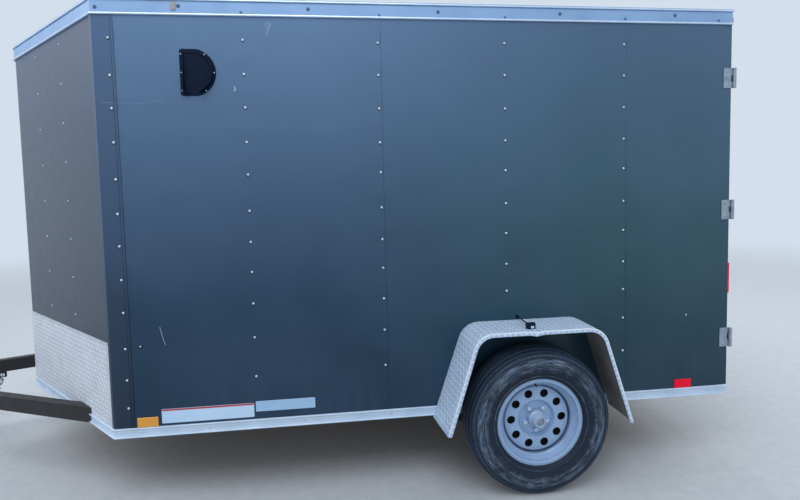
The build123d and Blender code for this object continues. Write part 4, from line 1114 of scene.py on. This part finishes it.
pair = both(tyre)
hand_in_pair(pair, "ribbed_tyre", rubber, "wheel", 28)
for piece, side in zip(pair, ("left", "right")):
    # The tops get the paler copy: partly dust, partly painted light against the grooves' painted shade.
    second_finish(piece, tread_tops_dust_and_shade, block_tops)
    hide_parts(f"tyre_{side}")

# %% [markdown]
# ## Blank stickers
# A trailer carries a certificate and a tyre notice as vinyl stickers low on its front. Here they stay
# blank: a white one with a red edge and a pale-blue one. Each is a thin sheet with rounded corners and a
# little thickness, so that its edge catches light.

# %% Vinyl
white_vinyl = grained("white_vinyl", "#B2CEEA", "#BED8F0", 0.42, 60, (3, 1, 1), 0.02)
blue_vinyl = grained("pale_blue_vinyl", "#94B9DA", "#A2C3E0", 0.42, 40, (3, 1, 1), 0.02)
red_vinyl = grained("red_vinyl", "#B8404A", "#A83844", 0.42, 30, (3, 1, 1), 0.02)
skin_face = wall_y + 3.2 * MM


def block(low, high, round_mm):
    """A block between two corners, with rounded edges."""
    low, high = Vector(low), Vector(high)
    bpy.ops.mesh.primitive_cube_add(size=1, location=(low + high) / 2)
    piece = bpy.context.object
    piece.scale = [abs(side) for side in high - low]
    settle(piece)
    return modify(piece, "BEVEL", width=round_mm * MM, segments=2) if round_mm else piece


def sticker(x_range, z_range, face, corner_mm):
    """A thin vinyl sheet on the road-side skin, with rounded corners."""
    half = 0.25 * MM
    low, high = [(x * MM, face + out, z * MM) for x, z, out in zip(x_range, z_range, (-half, half))]
    vinyl = block(low, high, 0)
    edit(vinyl)
    bpy.ops.mesh.select_all(action="DESELECT")
    mesh = bmesh.from_edit_mesh(vinyl.data)
    for edge in mesh.edges:
        edge.select_set(abs((edge.verts[0].co - edge.verts[1].co).y) > 0.1 * MM)
    bmesh.update_edit_mesh(vinyl.data)
    bpy.ops.mesh.bevel(offset=corner_mm * MM, segments=4)
    return done(vinyl)


hand_in(sticker((87, 502), (387, 454), skin_face, 5), "blank_white_sticker", white_vinyl)
red = sticker((89, 500), (444.5, 452.5), skin_face + 0.2 * MM, 1)
hand_in(red, "red_sticker_edge", red_vinyl)
hand_in(sticker((-197, 79), (411, 461), skin_face, 4), "blank_blue_sticker", blue_vinyl)

# %% [markdown]
# ## Scratches and scuffs
# Small damage makes the wall believable: a few pale scratches through the enamel and chalky scuffs. Each is
# a ribbon thinner than a pixel is wide, drawn from listed points and laid just over the skin.

# %% Scratches
scratch_paint = grained("scratched_enamel", "#7F98B4", "#A4BAD2", 0.5, 6, (1, 1, 1), 0.02)
scratch_lines = [
    ([(490, 838), (482, 800), (476, 776), (468, 753)], 2.2),
    ([(-40, 2208), (-52, 2190), (-44, 2172), (-36, 2150)], 3.0),
    ([(-30, 2204), (-36, 2186), (-46, 2168)], 2.2),
    ([(-52, 2206), (-58, 2192)], 2.6),
    ([(113, 1921), (108, 1908), (114, 1898)], 7.0),
    ([(692, 1852), (610, 1846), (540, 1842), (482, 1849), (430, 1862)], 0.7),
    ([(-617, 1983), (-760, 2003), (-905, 2030), (-1010, 2042), (-1125, 2061)], 0.35),
]
ribbons = []
for line, width in scratch_lines:
    ribbon = wire("scratch", [(x * MM, wall_y + 2.9 * MM, z * MM) for x, z in line])
    upright = abs(line[-1][1] - line[0][1]) > abs(line[-1][0] - line[0][0])
    run = (width * MM, 0, 0) if upright else (0, 0, width * MM)
    bpy.ops.mesh.extrude_region_move(TRANSFORM_OT_translate={"value": run})
    ribbons.append(modify(close_up(ribbon), "SOLIDIFY", thickness=0.9 * MM, offset=0))
hand_in(join(ribbons), "scratches", scratch_paint)

# %% [markdown]
# ## Vents, loose screws and the painted lap shadows
# The vent's flange is held by six small screws, and a dark strip is painted as the shadow where one skin
# laps over the next. Two odd screws with dark washers were added later by someone's repair.

# %% Vent screws
vent_low, vent_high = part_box("side_vents")
vent_middle = x_column + 198.96 * MM
vent_z = (vent_low.z + vent_high.z) / 2
vent_spots = [(72, 81), (72, 0), (71, -80), (-30, 80), (-70, -1), (-32, -80)]
rear_vent = vent_low.x + 78 * MM
vent_places = [on_wall(vent_middle + x * MM, vent_z + z * MM, 4) for x, z in vent_spots]
vent_places += [on_wall(rear_vent - x * MM, vent_z + z * MM, 4, -1) for x, z in vent_spots]
hand_in(copies(washer_screw(3.2, 2.2, 1.2), vent_places), "vent_screws", tread_plate)

# %% Odd screws and painted lap shadows
odd = [on_wall(x * MM, z * MM, 1.2) for x, z in ((577, 751), (-2105, 758))]
hand_in(copies(washer_screw(8.5, 4.4, 2.5), odd), "repair_screws", black_plastic)
odd = [place @ Matrix.Translation((-1.5 * MM, 1.5 * MM, 2.2 * MM)) for place in odd]
hand_in(copies(washer_screw(4.6, 3.4, 1.4), odd), "repair_screw_heads", screw_zinc)
# Painted shadow: a dark strip along the edge of each lap.
lines = [block((x - 1.95 * MM, side * wall_y - 2.5 * MM, trim_top),
               (x - 0.45 * MM, side * wall_y + 2.5 * MM, rail_low), 0.8)
         for side, x in ((1, seams[0]), (1, seams[1]), (-1, seams[0]))]
hand_in(join(lines), "lap_painted_shadows", trim_paint)

# %% [markdown]
# ## Beads on the trims
# The extrusions have a round bead along their edges, and it is this bead, finished in a paler copy of the
# extrusion's metal as a painted highlight, that draws the bright lines round the box. The solids have it
# square. A round bar is half sunk into each square bead: a curve with a bevel follows the body's outline,
# mitred at the corners and curved at the nose, and is then made a mesh.

# %% Outline of the body


def round_the_body(proud, x_back, z):
    """Points round the body from one rear corner to the other, at a distance out and a height."""
    corner = x_corner + proud * math.tan(nose_angle / 2)
    half = wall_y + proud
    apex = corner + half / math.tan(nose_angle)
    length, at = folded_line([(corner, half), (apex, 0.0), (corner, -half)], nose_radius + proud)
    arc = (nose_radius + proud) * (math.pi - 2 * nose_angle)
    run = (length - arc) / 2
    bends = [at(run + arc * k / 8)[0] for k in range(9)]
    outline = [(x_back, half), (corner, half), *[tuple(p) for p in bends], (corner, -half), (x_back, -half)]
    return [(x, y, z) for x, y in outline]


def bead(points, radius_mm):
    """A round bar along points."""
    curve = bpy.data.curves.new("bead", "CURVE")
    curve.dimensions = "3D"
    curve.bevel_depth = radius_mm * MM
    curve.bevel_resolution = 2
    curve.use_fill_caps = True
    line = curve.splines.new("POLY")
    line.points.add(len(points) - 1)
    for point, place in zip(line.points, points):
        point.co = (*place, 1)
    bar = bpy.data.objects.new("bead", curve)
    bpy.context.scene.collection.objects.link(bar)
    only(bar)
    bpy.ops.object.convert(target="MESH")
    return bpy.context.object


print("the body's outline has", len(round_the_body(8 * MM, x_rear, 1.0)), "points")

# %% Beads along the trims
beads = [bead(round_the_body(7.5 * MM, x_rear, z * MM), radius) for z, radius in ((2234, 4.5), (2297, 4.0))]
beads += [bead(round_the_body(7 * MM, x_rear + 8 * MM, z * MM), 3.8) for z in (372, 334)]
# Painted highlight: the beads are a paler copy of the extrusion's metal.
painted_highlight_bead_metal = bare_metal("extrusion_bead_painted_highlight", "#DCEBFA", "#C0D4EA", 0.3, 3, (40, 1, 1), 130, 0.5)
hand_in(join(beads), "trim_beads", painted_highlight_bead_metal)

# %% Rolled edges of the fenders
edge_in = bars_proud + edge_round
edge_points = []
length, at = folded_line(fender_line, bend)
for k in range(121):
    point, ahead = at(length * k / 120)
    x, z = point - Vector((ahead.y, -ahead.x)) * edge_in
    if z > fender_low.z + 3 * MM:
        edge_points.append((x, face_y - edge_round, z))
pair = [dented(piece) for piece in both(bead(edge_points, 4.2))]
# Painted highlight: the rolled edge is a pale copy of the plate's metal, where it catches the light.
painted_highlight_edge_metal = bare_metal("fender_edge_painted_highlight", "#E6EEF8", "#CBD8E8", 0.3, 3, (1, 1, 1), 130, 0.2)
hand_in_pair(pair, "fender_edge", painted_highlight_edge_metal)

# %% [markdown]
# ## Wheel details
# Five acorn nuts hold the wheel, a pressed plug closes the hub, a rubber valve stem leans out of the rim,
# and a dark balance patch sits on the dish. A nut is a hexagon with a chamfer, drawn up to a dome.

# %% Acorn nuts
pad_face = disc_face + 4 * MM
lug_circle = 57.15 * MM
nut = edit(disc(6, 11.5, 12), upper)
inset((1.6, 1.6))
draw_up((5, 0.86, 0.86), (4, 0.72, 0.72), (2.2, 0.5, 0.5))
open_below(nut)
nut_places = []
for angle in (math.radians(72 * k - 90) for k in range(5)):
    x, z = axle.x + math.cos(angle) * lug_circle, axle.z + math.sin(angle) * lug_circle
    nut_places.append(stand((x, pad_face, z), (0, 1, 0)))
hand_in_pair(both(copies(nut, nut_places)), "wheel_nuts", screw_zinc, "wheel")

# %% Plug in the hub's end
on_side = (math.pi / 2, 0, 0)
hub_plug = edit(disc(40, 19.4, 10, (axle.x, 1110 * MM, axle.z), on_side), lambda c, n: n.y > 0.9)
inset((2.5, 0), (1.2, -2), (6, 1.2))
hand_in_pair(both(done(hub_plug)), "hub_plug", zinc, "wheel")

# %% Valve stem
valve_x = axle.x + 15 * MM
valve = bead([(valve_x, y * MM, axle.z + r * MM) for y, r in ((1082, 178), (1104, 172), (1116, 170))], 5.5)
edit(valve, lambda c, n: c.y > 1109 * MM)
bpy.ops.transform.resize(value=(0.6, 1, 0.6), center_override=(valve_x, 1116 * MM, axle.z + 170 * MM))
hand_in_pair(both(done(valve)), "valve_stem", seal_rubber, "wheel")

# %% Balance patch
patch = block((-6.5 * MM, -1.2 * MM, -15 * MM), (6.5 * MM, 1.2 * MM, 15 * MM), 1)
patch.location = (axle.x - 38 * MM, disc_face + 7 * MM, 255 * MM)
patch.rotation_euler.y = math.radians(-22)
hand_in(patch, "balance_patch", seal_rubber, "wheel_left")

# %% [markdown]
# ## Brake drums
# Through the wheel's holes the eye meets a drum, not the ground beyond, and the drum is near black as
# painted shade. A drum is a closed cylinder with a stiffening rib round its open end. Its back face is inset
# and pushed in, as a casting is.

# %% Brake drums
# Painted shade: the drum is near black so that the wheel's holes look dark.
drum_iron = worn_steel("drum_iron_painted_shade", "#08090B", "#120F0C", 0.3, 0.75, 0.0, 30, 0.2)
drum = edit(disc(72, 157, 60, (axle.x, 1011 * MM, axle.z), on_side), lambda c, n: n.y < -0.9)
inset((14, -20))
pick(drum, lambda c, n: abs(n.y) < 0.5 and polar(c)[1] > 140)
inset((18, -5))
done(drum)
modify(drum, "BEVEL", width=2 * MM, segments=2, limit_method="ANGLE", angle_limit=math.radians(40))
hand_in_pair(both(drum), "brake_drum", drum_iron, "wheel")

# %% [markdown]
# ## Steps of the rims
# A rim is rolled from strip, so its barrel steps up to the flange in rings, and each step catches a line of
# light. The section of that skin is spun round the axle, as the tyre's was, and covers the solid's slope.

# %% Rolled steps
step_section = [(1071.5, 166.5), (1072.5, 164.4), (1077, 165.2), (1080, 168.6), (1084, 169.4), (1087, 173.2),
                (1095, 176.4), (1098, 180.6), (1106, 183.4), (1109, 187.6), (1115, 189), (1118.6, 191.6),
                (1119.8, 195), (1119.4, 199), (1117.6, 202), (1118.8, 204.5), (1118.6, 207.2),
                (1115.5, 208.6)]
steps = modify(spun("rim_steps", step_section, 0, 96, False), "SOLIDIFY", thickness=0.6 * MM, offset=0)
hand_in_pair(both(steps), "rim_steps", wheel_enamel, "wheel", 24)

# %% [markdown]
# ## Linings
# Behind the open doors the walls are lined with plywood, set on the posts with a gap between the boards.
# Each board is a block with softened edges. On the kerb side the boards stop round the doorway.

# %% Boards
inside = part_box("floor_deck")[1].y
board_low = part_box("floor_deck")[1].z + 2 * MM
board_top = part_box("roof_bows")[0].z - 6 * MM
board_gap = 2 * MM
door_gap_low, door_gap_high = -336 * MM, 506 * MM
board_width, board_thick = 1.22, 5 * MM
back, front = x_post + 3 * MM, x_corner - 3 * MM
long_side, short_side = spread(back, front, board_width), spread(back, door_gap_low, board_width)
spans = [(1, a, b, board_low) for a, b in zip(long_side, long_side[1:])]
spans += [(-1, a, b, board_low) for a, b in zip(short_side, short_side[1:])]
spans += [(-1, door_gap_high, front, board_low), (-1, door_gap_low, door_gap_high, 2156 * MM)]
boards = [block((a + board_gap / 2, side * inside, low),
                (b - board_gap / 2, side * (inside - board_thick), board_top), 1.2)
          for side, a, b, low in spans]
nose_length = 1058 * MM
for side in (1, -1):
    ahead = Vector((math.cos(nose_angle), -side * math.sin(nose_angle), 0))
    nose_board = block((2 * MM, 0, board_low), (nose_length, -side * board_thick, board_top), 1.2)
    turn = Matrix.Rotation(math.atan2(ahead.y, ahead.x), 4, "Z")
    nose_board.matrix_world = Matrix.Translation((x_corner + 2 * MM, side * 856 * MM, 0)) @ turn
    boards.append(settle(nose_board))
tip = x_corner + nose_length * math.cos(nose_angle)
boards.append(block((tip - 4 * MM, -68 * MM, board_low), (tip, 68 * MM, board_top), 1.2))
hand_in(join(boards), "wall_linings", lining_board, smooth=20)

# %% Boards inside the doors
margin, door_board = 40 * MM, 4 * MM
for side, sign in (("left", 1), ("right", -1)):
    low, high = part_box(f"rear_door_{side}")
    panel = block((high.x, sign * 44 * MM, low.z + margin),
                  (high.x + door_board, sign * 796 * MM, high.z - margin), 1.2)
    hand_in(panel, f"rear_door_lining_{side}", lining_board, f"rear_door_{side}", 20)
low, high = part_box("side_door")
panel = block((low.x + margin, high.y, low.z + margin),
              (high.x - margin, high.y + door_board, high.z - margin), 1.2)
hand_in(panel, "side_door_lining", lining_board, "side_door", 20)

# %% [markdown]
# ## Door seals and edges
# A door closes on a rubber seal, whose lip shows as a black line all round. The rear doors have a painted
# edge trim inside it. Both are flat rings: a plane is inset, its middle is taken out, and the ring gets its
# thickness.

# %% Rings


def ring(middle, size, turn, width, depth):
    """A flat ring round a rectangle, with a given width and thickness."""
    bpy.ops.mesh.primitive_plane_add(size=1, location=middle, rotation=turn)
    band = bpy.context.object
    band.scale = (*size, 1)
    settle(band)
    edit(band)
    bpy.ops.mesh.inset(thickness=width)
    bpy.ops.mesh.delete(type="FACE")
    done(band)
    modify(band, "SOLIDIFY", thickness=depth, offset=0)
    return modify(band, "BEVEL", width=0.5 * MM, segments=2)


def door_ring(door, name, out, less, width, thick, material):
    """A ring on a door's outer face: how far out, how much smaller, how wide and how thick, in mm."""
    low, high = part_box(door)
    middle, size = (low + high) / 2, high - low
    if size.x < size.y:
        middle.x, sides, turn = low.x - out * MM, (size.z, size.y), (0, math.pi / 2, 0)
    else:
        middle.y, sides, turn = low.y - out * MM, (size.x, size.z), on_side
    band = ring(middle, [side - less * MM for side in sides], turn, width * MM, thick * MM)
    hand_in(band, name, material, door)


for side in ("left", "right"):
    door = f"rear_door_{side}"
    door_ring(door, f"rear_door_seal_{side}", 1.2, 2, 9, 3, seal_rubber)
    door_ring(door, f"rear_door_edge_{side}", 0.4, 24, 26, 1.6, trim_paint)
door_ring("side_door", "side_door_seal", 0.6, 2, 8, 2.4, seal_rubber)

# %% [markdown]
# ## Bolts on the hardware
# Hinges, cam guides and keepers are held by carriage bolts with low domed heads. One head is a disc, drawn
# in twice to a dome, and copied wherever a strap or plate needs one.

# %% Bolts on each body


def carriage_bolt():
    """A domed bolt head standing on Z = 0."""
    bolt = edit(disc(14, 7, 1.2), upper)
    draw_up((1.3, 0.82, 0.82), (0.8, 0.6, 0.6))
    return open_below(bolt)


def on_rear(x, y_mm, z_mm):
    """A place that looks backwards."""
    return stand((x, y_mm * MM, z_mm * MM), (-1, 0, 0))


bolt_spots = {"chassis": [], "rear_door_left": [], "rear_door_right": [], "side_door": []}
door_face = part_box("rear_door_left")[0].x
hinge_heights = (630, 1297.5, 1965)
strap_face, guide_face = door_face - 5 * MM, door_face - 21 * MM
for side, door in ((1, "rear_door_left"), (-1, "rear_door_right")):
    for z in hinge_heights:
        bolt_spots[door] += [on_rear(strap_face, side * y, z) for y in (762, 812, 862)]
        bolt_spots["chassis"] += [on_wall(x_rear + 24 * MM, (z + dz) * MM, 5, side) for dz in (-34, 34)]
    for z in (520, 1050, 1330, 2075):
        bolt_spots[door] += [on_rear(guide_face, side * y, z) for y in (125, 183)]
    for z in (390, 2205):
        bolt_spots["chassis"] += [on_rear(x_rear - 4 * MM, side * y, z) for y in (104, 172)]
side_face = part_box("side_door")[0].y
side_spots = [(452, -3, z) for z in (640, 1290, 1940)]
side_spots += [(x, -12, z) for x in (-281, -222) for z in (1241, 1339)]
for x, out, z in side_spots:
    bolt_spots["side_door"].append(stand((x * MM, side_face + out * MM, z * MM), (0, -1, 0)))
for body, places in bolt_spots.items():
    hand_in(copies(carriage_bolt(), places), f"bolts_on_{body}", zinc, body)

# %% [markdown]
# ## Screws on the nose, the guard and the rear
# The nose sheets are screwed to their posts, the stone guard along its top edge, and the rear posts and
# header in a row. All use the small screw made for the walls.

# %% Screws on the hidden sides
places = []
for side in (1, -1):
    out = Vector((math.sin(nose_angle), side * math.cos(nose_angle), 0))
    ahead = Vector((math.cos(nose_angle), -side * math.sin(nose_angle), 0))
    corner = Vector((x_corner, side * wall_y, 0))
    for along in (0.42, 0.78):
        for z in spread(0.85, 2.18, 0.19):
            places.append(stand(corner + ahead * along + Vector((0, 0, z)), out))
    for along in spread(0.10, 1.08, 0.16):
        rim = Vector((0, 0, guard_high.z - 6 * MM))
        places.append(stand(corner + ahead * along + rim + out * 5 * MM, out))
    for z in spread(0.36, 2.2, 0.155):
        near_hinge = min(abs(z - h * MM) for h in hinge_heights) < 40 * MM
        if not near_hinge and not 0.84 < z < 1.04:
            places.append(on_rear(x_rear, side * 877, z / MM))
    for y in spread(0.24, 0.80, 0.14):
        places.append(on_rear(x_rear, side * y / MM, 2208))
hand_in(copies(washer_screw(5.4, 3.6, 2.8), places), "nose_and_rear_screws", screw_zinc)

# %% [markdown]
# ## Lamps and latch
# Each tail lamp stands on a black base, the fender lamp has a bright tab, and the side door's latch has a
# round lock. The corner trims end in a folded hem, drawn as a thin round bar along their rear edge.

# %% Lamp bases, tab, lock and hems
bases = [block((x_rear - 5 * MM, side * 845 * MM, 856 * MM),
               (x_rear + 0.2 * MM, side * 909 * MM, 1024 * MM), 2) for side in (1, -1)]
hand_in(join(bases), "tail_lamp_bases", black_plastic)
tabs = [block((axle.x + 25 * MM, side * 1108 * MM, 787 * MM),
              (axle.x + 41 * MM, side * 1116 * MM, 799 * MM), 1.5) for side in (1, -1)]
hand_in(join(tabs), "fender_lamp_tabs", screw_zinc)
lock = edit(disc(28, 13, 5, (-252 * MM, side_face - 14 * MM, 1262 * MM), on_side), lambda c, n: n.y < -0.9)
inset((4, 1.2), (5, -2.5))
hand_in(done(lock), "side_door_lock", zinc, "side_door")
hems = [bead([(trim_edge + along * MM, side * (wall_y + 3.2 * MM), z) for z in (trim_top, rail_low)], radius)
        for side in (1, -1) for along, radius in ((2, 2.4), (13, 1.8))]
hand_in(join(hems), "corner_trim_hems", trim_paint)
stain = block((352 * MM, wall_y + 5 * MM, 2250 * MM), (376 * MM, wall_y + 8.4 * MM, 2288 * MM), 3)
stain_brown = grained("dried_leaf_stain", "#8C9199", "#A19C98", 0.7, 12, (1, 1, 3), 0.02)
hand_in(stain, "rail_stain", stain_brown)

# %% [markdown]
# ## Floor, background and light
# A plain pale floor and soft, even light show the finishes as they are. The world is a pale grey that the
# camera, mirrors and glass see at full strength, while the light that it throws on the trailer is set
# apart, so that colours come out about as written. Large area lamps stand in for an overcast sky. Far from
# the trailer the floor fades into the background's own pale tone, as a studio's curved backdrop does.

# %% Floor
background = "#D3DFEC"
fade_start, fade_end = 3.5, 14.0
bpy.ops.mesh.primitive_circle_add(vertices=96, radius=30, fill_type="NGON", location=(0, 0, -0.5 * MM))
floor = settle(bpy.context.object)
floor.name = "floor"
floor_paint, tree, where = begin("pale_screed", "#C3C8CD", {"Roughness": 0.85})
grain = add(tree, "TexNoise", {"Vector": where, "Scale": 1 / (60 * MM), "Detail": 6.0})
tone = add(tree, "ValToRGB", {0: grain}, [(0.35, "#B0B5BA"), (0.65, "#B7BBBF")])
finish(floor_paint, {"Base Color": tone})
distance = add(tree, "VectorMath", {0: where}, operation="LENGTH")
far = add(tree, "MapRange", {0: distance, 1: fade_start, 2: fade_end}, interpolation_type="SMOOTHSTEP")
haze = add(tree, "Emission", {"Color": background, "Strength": 1.0})
surface = add(tree, "MixShader", {0: far, 1: tree.nodes["Principled BSDF"].outputs[0], 2: haze})
tree.links.new(surface, tree.nodes["Material Output"].inputs["Surface"])
floor.data.materials.append(floor_paint)
print("floor at", floor.location.z)

# %% World
bpy.context.scene.view_settings.view_transform = "Standard"
world = bpy.data.worlds.new("overcast")
bpy.context.scene.world = world
world.use_nodes = True
tree = world.node_tree
seen = tree.nodes["Background"]
seen.inputs["Color"].default_value = linear(background)
seen.inputs["Strength"].default_value = 1.0
thrown = add(tree, "Background", {"Color": "#DFE6EE", "Strength": 1.0})
ray = add(tree, "LightPath", {}).node.outputs
mirrors = add(tree, "Math", {0: ray["Is Camera Ray"], 1: ray["Is Glossy Ray"]}, operation="MAXIMUM")
direct = add(tree, "Math", {0: mirrors, 1: ray["Is Transmission Ray"]}, operation="MAXIMUM")
light = add(tree, "MixShader", {0: direct, 1: thrown, 2: seen.outputs[0]})
tree.links.new(light, tree.nodes["World Output"].inputs["Surface"])

# %% Lamps


def soft_lamp(name, where, target, size, power, colour):
    """A square area lamp aimed at a point."""
    lamp = bpy.data.objects.new(name, bpy.data.lights.new(name, "AREA"))
    lamp.data.size = size
    lamp.data.energy = power
    lamp.data.color = linear(colour)[:3]
    aim = (Vector(target) - Vector(where)).to_track_quat("-Z", "Y")
    lamp.matrix_world = Matrix.Translation(where) @ aim.to_matrix().to_4x4()
    bpy.context.scene.collection.objects.link(lamp)
    return lamp


soft_lamp("sky_over_road_side", (0.8, 4.6, 6.8), (0, 0.4, 1.0), 4.5, 210, "#F4F8FF")
soft_lamp("sky_over_kerb_side", (-1.2, -4.8, 6.6), (0, -0.4, 1.0), 4.5, 200, "#F4F8FF")
soft_lamp("sky_ahead", (7.0, 0.5, 5.0), (0.5, 0, 1.0), 4.0, 130, "#FFFFFF")
soft_lamp("sky_behind", (-7.0, -0.5, 5.0), (-0.5, 0, 1.0), 4.0, 130, "#FFFFFF")
print("four lamps round the trailer")
